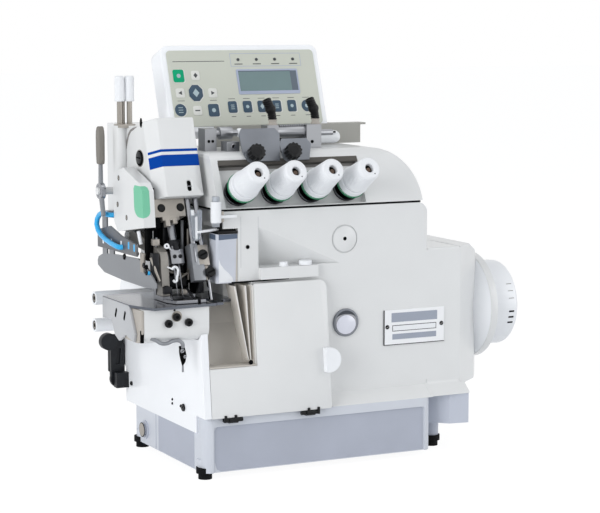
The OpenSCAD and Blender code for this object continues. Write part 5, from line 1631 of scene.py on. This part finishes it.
@dataclass
class FrontTrim:
    """Shadow lines, chute ribs, gauge, plug ring and name plate on the front."""

    front: float = -75.0
    door_slope: float = 0.1086
    door_foot: float = -100.147
    gauge: tuple[float, float, float] = (32.5, 130.0, 13.5)
    plug: tuple[float, float, float] = (31.5, 210.6, 13.0)
    plate: tuple[float, float, float, float] = (74.5, 104.5, 67.0, 34.0)

    def build(self) -> None:
        """Makes the front's small fittings."""
        self._door()
        self._chute()
        self._gauge()
        self._plug()
        self._plate()
        skin = Piece("step_skin", "frame", FIN.enamel)
        skin.at(facing_front(0, self.front, 0)).prism(square(104, 67, 146, 195), -0.2, 0.06, 0)
        web = ((-89.0, 52.4), (-75.1, 63.4), (-74.9, 60), (-86, 52.4))
        skin.at(upright()).hull([(x, y, z) for x in (120.6, 123.4) for y, z in web], 0)
        corner = ((157.6, -75.06), (160.2, -75.06), (162.4, -73.2), (157.6, -73.2))
        skin.hull([(x, y, z) for z in (63.6, 195.6) for x, y in corner], 0)
        skin.done()
        lines = Piece("front_seams", "frame", FIN.seam, FIN.void)
        lines.at(facing_front(0, -80, 0), 1).prism(
            [(-89, 175.4), (-58, 175.6), (-30, 176.2), (-30, 176.7), (-58, 177.0), (-89, 176.9)],
            -0.2, 0.1, 0)
        lines.at(facing_front(0, -75.02, 0), 0).prism(square(9.6, 54.4, 118, 55.1), SINK, 0.12, 0)
        lines.done()

    def _door(self) -> None:
        """Makes the hinged front cover with its rounded corner, flange and hinge ears."""
        lean = (0, self.door_slope, -1, self.door_foot)
        face = upright() @ Matrix(((1, 0, 0, 0), lean, (0, 1, 0, 0), (0, 0, 0, 1)))
        door = Piece("front_door", "cover", FIN.enamel, FIN.black).at(face)
        corner = arc(1.0, 166, 8.0, 8.0, range(0, 91, 15))
        door.prism([(-115.7, 52), (7.5, 52), (9, 53.5)] + corner + [(-65.6, 174), (-67, 172.6), (-67, 98),
                   (-115.7, 98)], -3.0, 0, 0.9)
        door.at(upright()).hull(
            [(6.2, -92.2, 58), (9, -92.2, 58), (9, -81, 164), (6.2, -81, 164), (6.2, -75.4, 164),
             (9, -75.4, 164), (9, -75.4, 67), (6.2, -75.4, 67), (6.2, -88, 58), (9, -88, 58)], 0.5)
        low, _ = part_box("front_cover")
        pins_low, pins_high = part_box("hinge_pins")
        ends = (pins_low.x / MM, pins_high.x / MM)
        front, foot = low.y / MM + 0.5, low.z / MM + 1.0
        for x in (ends[0] + 1.4, ends[0] + 11.6, ends[1] - 11.6, ends[1] - 1.4):
            door.at(upright(), 1).box((x - 1.3, front, foot), (x + 1.3, -89.5, 54.5), 0.5)
        door.done("front_cover")

    @staticmethod
    def _chute() -> None:
        """Folds three pale ribs into the chute and dots its toe."""
        ribs = Piece("chute_ribs", "frame", FIN.rib, FIN.void, FIN.chute_shade)
        # Painted shade: each rib's side wall and the strip along the toe take the darker chute_shade tone,
        # and the rib fronts stay pale.
        for top, bottom, wide in ((-86.4, -75.6, 1.1), (-75.6, -73.2, 1.0)):
            half = wide * 0.5
            ribs.at(upright(), 2).hull(
                [(top - wide, -80.2, 172.6), (top + wide, -80.2, 172.6), (top, -60, 172.6),
                 (bottom - half, -87.0, 104), (bottom + half, -87.0, 104), (bottom, -74, 104)], 0.1)
            ribs.at(upright(), 0).hull(
                [(top - 0.9, -80.9, 172.6), (top + 0.9, -80.9, 172.6), (top, -79.4, 172.6),
                 (bottom - 0.5, -87.7, 104), (bottom + 0.5, -87.7, 104), (bottom, -86.4, 104)], 0.1)
        ribs.at(upright(), 0).hull(
            [(-68.6, -80.2, 172.6), (-67.2, -80.2, 172.6), (-67.2, -60, 172.6), (-68.6, -60, 172.6),
             (-68.6, -88.0, 99), (-67.2, -88.0, 99), (-67.2, -74, 99), (-68.6, -74, 99)], 0.1)
        ribs.at(upright(), 2).box((-115.4, -89.6, 98.2), (-68, -74, 99.6), 0.3)
        ribs.at(facing_front(-73.6, -88.6, 101.6), 1).screw((0, 0, 0), 2.3, 0.8, 0.2)
        ribs.done()

    def _gauge(self) -> None:
        """Sets the gauge glass in a bright ring and paints its reflections on it: a dark crescent along the
        top edge and a pale highlight oval below.
        """
        x, z, radius = self.gauge
        spot = facing_front(x, self.front - 2.0, z)
        gauge = Piece("gauge_window", "frame", FIN.glass_dark_reflection, FIN.dome_highlight, FIN.chrome, FIN.guide)
        gauge.at(spot, 3).lathe([(radius - 2.6, -4), (radius, -4), (radius, -0.4), (radius - 0.5, 0.1),
                                 (radius - 1.5, 0.2), (radius - 2.6, -0.6)], 72, closed=True)
        gauge.at(spot, 2).lathe(square(0, -3.2, radius - 1.4, -0.4), 72)
        upper = arc(0, 0, 11.6, 11.6, range(5, 176, 9))
        lower = arc(0, 3.2, 11.0, 5.0, range(170, 9, -10))
        gauge.at(spot, 0).prism(upper + lower, -0.5, -0.1, 0)
        gauge.at(spot, 1).prism(oval(10.4, 9.2, 48, -2.0), -0.5, 0.1, 0.2)
        gauge.done("oil_gauge")

    def _plug(self) -> None:
        """Outlines the round blanking plug and its middle dot."""
        x, z, radius = self.plug
        spot = facing_front(x, self.front, z)
        ring = Piece("plug_ring", "frame", FIN.enamel, FIN.seam_light, FIN.void)
        ring.at(spot, 0).lathe([(0, -0.2), (radius - 0.8, -0.2), (radius - 0.8, 0.45), (radius - 1.3, 0.7),
                                (0, 0.7)], 72)
        ring.at(spot, 1).lathe(square(radius - 0.7, -0.2, radius - 0.15, 0.16), 72, closed=True)
        ring.at(spot, 2).screw((0, 0.2, 0.5), 1.9, 0.35, 0)
        ring.done()

    def _plate(self) -> None:
        """Puts a bare band and two empty fields on the plain plate and rivets both ends."""
        x, z, wide, tall = self.plate
        spot = facing_front(x, self.front - 1.0, z)
        plate = Piece("plate_bands", "frame", FIN.plate_face, FIN.plate_band, FIN.seam, FIN.dark_steel,
                      FIN.knob)
        plate.at(spot, 0).prism(rounded(0.3, 0.3, wide - 0.3, tall - 0.3, 0.8, 3), -0.2, 0.12, 0)
        for tone, low, high in (
            (1, (8, tall - 12.0, 0.05), (wide - 8, tall - 3.0, 0.2)),
            (3, (9, 13.0, 0.1), (wide - 9, 19.0, 0.2)),
            (4, (9.6, 13.6, 0.15), (wide - 9.6, 18.4, 0.25)),
            (1, (9, 5.0, 0.05), (wide - 9, 10.4, 0.2)),
            # Painted shadow: the last two dark strips run along the plate's left and bottom edges.
            (3, (-0.3, -0.3, -0.8), (0.45, tall, 0.16)),
            (3, (-0.3, -0.3, -0.8), (wide, 0.35, 0.16)),
        ):
            plate.at(spot, tone).box(low, high, 0, 1)
        for side in (3.4, wide - 3.2):
            plate.at(spot, 3).screw((side, tall * 0.52, 0.05), 2.1, 0.7, 0.4, slot_tone=2)
        plate.done()


@dataclass
class LeftSide:
    """Slots, screws and hollows with painted shade on the machine's left."""

    comb_x: float = -166.0
    comb_line: tuple[Point, ...] = (
        (-64.9, 215.9), (-64.9, 199.1), (35.9, 199.8), (35.9, 210.9), (-4.6, 215.5), (-32.5, 221.9),
        (-49, 218.5),
    )
    comb_slots: tuple[Point, ...] = (
        (49.7, 206.9, 0), (27.9, 207.0, 0), (2.2, 207.6, 0), (-17.0, 208.4, 2), (-31.0, 207.5, 2),
    )
    guard_x: float = -161.5
    guard_screws: tuple[Point, ...] = ((5.7, 195.0, 3.0), (-40.4, 195.0, 2.6), (-50.0, 191.3, 2.4))
    tube_ends: tuple[Point, ...] = ((21.0, 155.0), (21.0, 129.0))
    pan_front: float = -87.2
    pan_side: float = -121.0
    pan_line: tuple[Point, ...] = (
        (-104, 0.8), (111.6, 0.8), (111.6, 41.6), (109.8, 43.3), (-107.4, 43.3), (-109.2, 41.6),
        (-110.2, 38.8), (-110.2, 10), (-108, 3),
    )

    def build(self) -> None:
        """Makes the left side's small fittings."""
        comb = Piece("comb_slots", "frame", FIN.knob, FIN.void, FIN.hose, FIN.dark_steel)
        skin = Piece("comb_skin", "frame", FIN.comb).at(facing_left(self.comb_x, 0, 0))
        skin.prism(self.comb_line, SINK, 0.1, 0)
        skin.done()
        for y, z, tone in self.comb_slots:
            spot = facing_left(self.comb_x, y, z)
            comb.at(spot, tone).prism(rounded(-1.9, -3.6, 1.9, 3.2, 1.2, 3), -0.2, 0.15, 0)
        for y, z, radius in self.guard_screws:
            comb.at(facing_left(self.guard_x, y, z), 1).screw((0, 0, -0.6), radius, 1.4, 0.5, slot_tone=3)
        comb.at(facing_left(self.guard_x, -56.9, 186.6), 2).screw((0, 0, 0), 2.0, 1.6, 0.5)
        comb.done()
        # Painted shade: black discs stand for the shade inside the open tube ends, in grey steel rims.
        tubes = Piece("tube_ends", "frame", FIN.void, FIN.grey_steel)
        for y, z in self.tube_ends:
            tubes.at(facing_left(-186.4, y, z), 0).lathe(square(0, 0, 4.4, 0.3), 32)
            tubes.at(facing_left(-186.3, y, z), 1).lathe(square(2.2, 0, 3.2, 0.5), 32, closed=True)
        tubes.done()
        bracket = Piece("pedal_bracket", "frame", FIN.link).at(upright())
        bracket.box((-136.2, 95.3, 50.8), (-122.9, 104.2, 66.2), 0.4)
        bracket.hull([(x, y, z) for y in (110, 113) for x, z in
                      ((-139, 66), (-126, 58), (-123, 62), (-123, 100), (-134, 100), (-139, 90))], 0.6)
        bracket.done()
        web = Piece("pedal_web", "pedal", FIN.link).at(upright())
        web.box((-136.0, 105.6, 72.5), (-127.0, 107.8, 92.5), 0.3)
        web.done()
        plug = Piece("drain_ring", "frame", FIN.pan_light, FIN.void, FIN.grey_steel)
        low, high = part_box("drain_plug")
        y, z = (low.y + high.y) / 2 / MM, (low.z + high.z) / 2 / MM
        spot = facing_left(low.x / MM, y, z)
        plug.at(spot, 1).lathe(square(0, -0.1, 7.2, 0.1), 40)
        plug.at(spot, 2).lathe(square(0, -0.1, 6.5, 0.3), 40)
        plug.done()
        self._pan()

    def _pan(self) -> None:
        """Lays the darker sunk panels on the pan's front and left side."""
        panel = Piece("pan_panels", "frame", FIN.pan)
        panel.at(facing_front(0, self.pan_front, 0)).prism(self.pan_line, SINK, 0.12, 0)
        for front, back in ((-23.4, 64.4), (-30.6, -29.2)):
            panel.at(facing_left(self.pan_side, 0, 0)).prism(square(front, 0.8, back, 51), SINK, 0.15, 0)
        panel.done()


@dataclass
class DriveMarks:
    """The flange's blend into the housing and the ticks on the handwheel."""

    axis: tuple[float, float] = (-9.0, 128.5)
    wheel_x: float = 213.0
    flange_x: float = 205.0
    broad_ticks: tuple[float, ...] = (186, 194, 202)
    fine_ticks: tuple[float, ...] = (168, 158, 148, 40, 80, 280, 320)

    def build(self) -> None:
        """Makes the flange's cone and the handwheel's marks."""
        # Painted light: the cone takes the brighter white finish, not the housing's enamel, to lift the
        # flange out of the housing's shadow.
        cone = Piece("flange_cone", "frame", FIN.white).at(facing_left(self.flange_x, *self.axis))
        cone.lathe([(30, -0.5), (53.8, -0.5), (53.8, 0.6), (39, 13), (30, 13)], 96, closed=True)
        cone.done()
        marks = Piece("wheel_marks", "drive", FIN.seam, FIN.void)
        rim = moved(upright(), self.wheel_x, *self.axis)
        for tone, wide, angles in ((1, 0.9, self.broad_ticks), (0, 0.35, self.fine_ticks)):
            for angle in angles:
                marks.at(tilted(rim, angle, "X"), tone).box((19, 42.7, -wide), (25, 43.15, wide), 0.05, 1)
        marks.done()


@dataclass(frozen=True)
class Lamp:
    """A soft square lamp: its place and side in metres and its power in watts."""

    name: str
    place: Point
    side: float
    power: float
    mirrored: bool = True


@dataclass
class Studio:
    """Floor, backdrop light, lamps and camera, in metres and degrees."""

    floor_z: float
    floor_size: float = 12.0
    floor_glow: float = 1.1
    floor_share: float = 0.85
    floor_tint: Point = (0.93, 0.94, 0.95, 1)
    ambient: float = 0.46
    ambient_tint: Point = (0.93, 0.96, 1.0, 1)
    lens: float = 119.4
    sensor: float = 36.0
    eye: Point = (-0.84303, -1.74489, 0.42494)
    pitch: float = 83.0
    yaw: float = -26.35
    near: float = 0.05
    far: float = 50.0
    aim: Point = (0.0, 0.0, 0.18)
    lamps: tuple[Lamp, ...] = (
        Lamp("key", (-2.2, -1.0, 0.7), 1.5, 30, mirrored=False),
        Lamp("fill", (1.9, -1.5, 0.8), 1.6, 16),
        Lamp("top", (0.1, -0.5, 2.2), 1.8, 8),
    )

    def build(self) -> None:
        """Makes the studio."""
        self._camera()
        self._world()
        self._floor()
        for lamp in self.lamps:
            self._hang(lamp)
        view = bpy.context.scene.view_settings
        view.view_transform = "Standard"

    def _camera(self) -> None:
        """Sets the camera at the front left, a little above the machine."""
        data = bpy.data.cameras.new("camera")
        data.lens, data.sensor_width = self.lens, self.sensor
        data.clip_start, data.clip_end = self.near, self.far
        camera = bpy.data.objects.new("camera", data)
        camera.location = self.eye
        camera.rotation_euler = (math.radians(self.pitch), 0.0, math.radians(self.yaw))
        bpy.context.scene.collection.objects.link(camera)
        bpy.context.scene.camera = camera

    @staticmethod
    def _seen_directly(tree: bpy.types.NodeTree) -> bpy.types.NodeSocket:
        """Tells rays that show a surface from rays that light it.

        Args:
            tree: Node tree that needs the answer.

        Returns:
            A socket that is 1 for camera, glossy and transmission rays.
        """
        rays = tree.nodes.new("ShaderNodeLightPath")
        total = rays.outputs["Is Camera Ray"]
        for name in ("Is Glossy Ray", "Is Transmission Ray"):
            both = tree.nodes.new("ShaderNodeMath")
            both.operation = "MAXIMUM"
            tree.links.new(total, both.inputs[0])
            tree.links.new(rays.outputs[name], both.inputs[1])
            total = both.outputs[0]
        return total

    def _world(self) -> None:
        """Makes a soft grey-white surround that shows as white."""
        world = bpy.data.worlds.new("surround")
        bpy.context.scene.world = world
        world.use_nodes = True
        tree = world.node_tree
        soft = tree.nodes["Background"]
        soft.inputs["Color"].default_value = self.ambient_tint
        soft.inputs["Strength"].default_value = self.ambient
        white = tree.nodes.new("ShaderNodeBackground")
        white.inputs["Color"].default_value = (1, 1, 1, 1)
        white.inputs["Strength"].default_value = 1.0
        mix = tree.nodes.new("ShaderNodeMixShader")
        tree.links.new(self._seen_directly(tree), mix.inputs["Fac"])
        tree.links.new(soft.outputs[0], mix.inputs[1])
        tree.links.new(white.outputs[0], mix.inputs[2])
        tree.links.new(mix.outputs[0], tree.nodes["World Output"].inputs["Surface"])

    def _floor(self) -> None:
        """Lays a plain white floor that keeps a light shadow."""
        mesh = bmesh.new()
        bmesh.ops.create_grid(mesh, x_segments=1, y_segments=1, size=self.floor_size)
        bmesh.ops.translate(mesh, vec=(0, 0, self.floor_z), verts=mesh.verts)
        data = bpy.data.meshes.new("floor")
        mesh.to_mesh(data)
        mesh.free()
        paint = bpy.data.materials.new("floor_white")
        paint.use_nodes = True
        tree = paint.node_tree
        base = tree.nodes["Principled BSDF"]
        base.inputs["Base Color"].default_value = self.floor_tint
        base.inputs["Roughness"].default_value = 0.9
        base.inputs["Specular IOR Level"].default_value = 0.0
        glow = tree.nodes.new("ShaderNodeEmission")
        glow.inputs["Strength"].default_value = self.floor_glow
        mix = tree.nodes.new("ShaderNodeMixShader")
        share = tree.nodes.new("ShaderNodeMath")
        share.operation = "MULTIPLY"
        share.inputs[1].default_value = self.floor_share
        tree.links.new(self._seen_directly(tree), share.inputs[0])
        tree.links.new(share.outputs[0], mix.inputs["Fac"])
        tree.links.new(base.outputs[0], mix.inputs[1])
        tree.links.new(glow.outputs[0], mix.inputs[2])
        tree.links.new(mix.outputs[0], tree.nodes["Material Output"].inputs["Surface"])
        data.materials.append(paint)
        floor = bpy.data.objects.new("floor", data)
        bpy.context.scene.collection.objects.link(floor)
        floor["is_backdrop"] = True

    def _hang(self, lamp: Lamp) -> None:
        """Hangs a soft square lamp that points at the machine.

        Args:
            lamp: Its place, size and power.
        """
        light = bpy.data.lights.new(lamp.name, "AREA")
        light.shape = "SQUARE"
        light.size, light.energy = lamp.side, lamp.power
        hung = bpy.data.objects.new(lamp.name, light)
        hung.location = lamp.place
        hung.visible_glossy = lamp.mirrored
        line = Vector(self.aim) - Vector(lamp.place)
        hung.rotation_euler = line.to_track_quat("-Z", "Y").to_euler()
        bpy.context.scene.collection.objects.link(hung)


def main() -> None:
    """Builds the machine round the frame, class by class."""
    logging.basicConfig(level=logging.INFO, format="%(message)s")
    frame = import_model()
    cad_low, cad_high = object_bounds()
    Studio(cad_low.z).build()
    AirHose().build()
    Castings(frame["nodes"]).dress()
    HeadTrim().build()
    ControlPanel().build()
    TensionBank().build()
    ThreadAids().build()
    LiftAndPressure().build()
    NeedleSide().build()
    Tank().build()
    BedFittings().build()
    FrontTrim().build()
    LeftSide().build()
    DriveMarks().build()


if __name__ == "__main__":
    main()
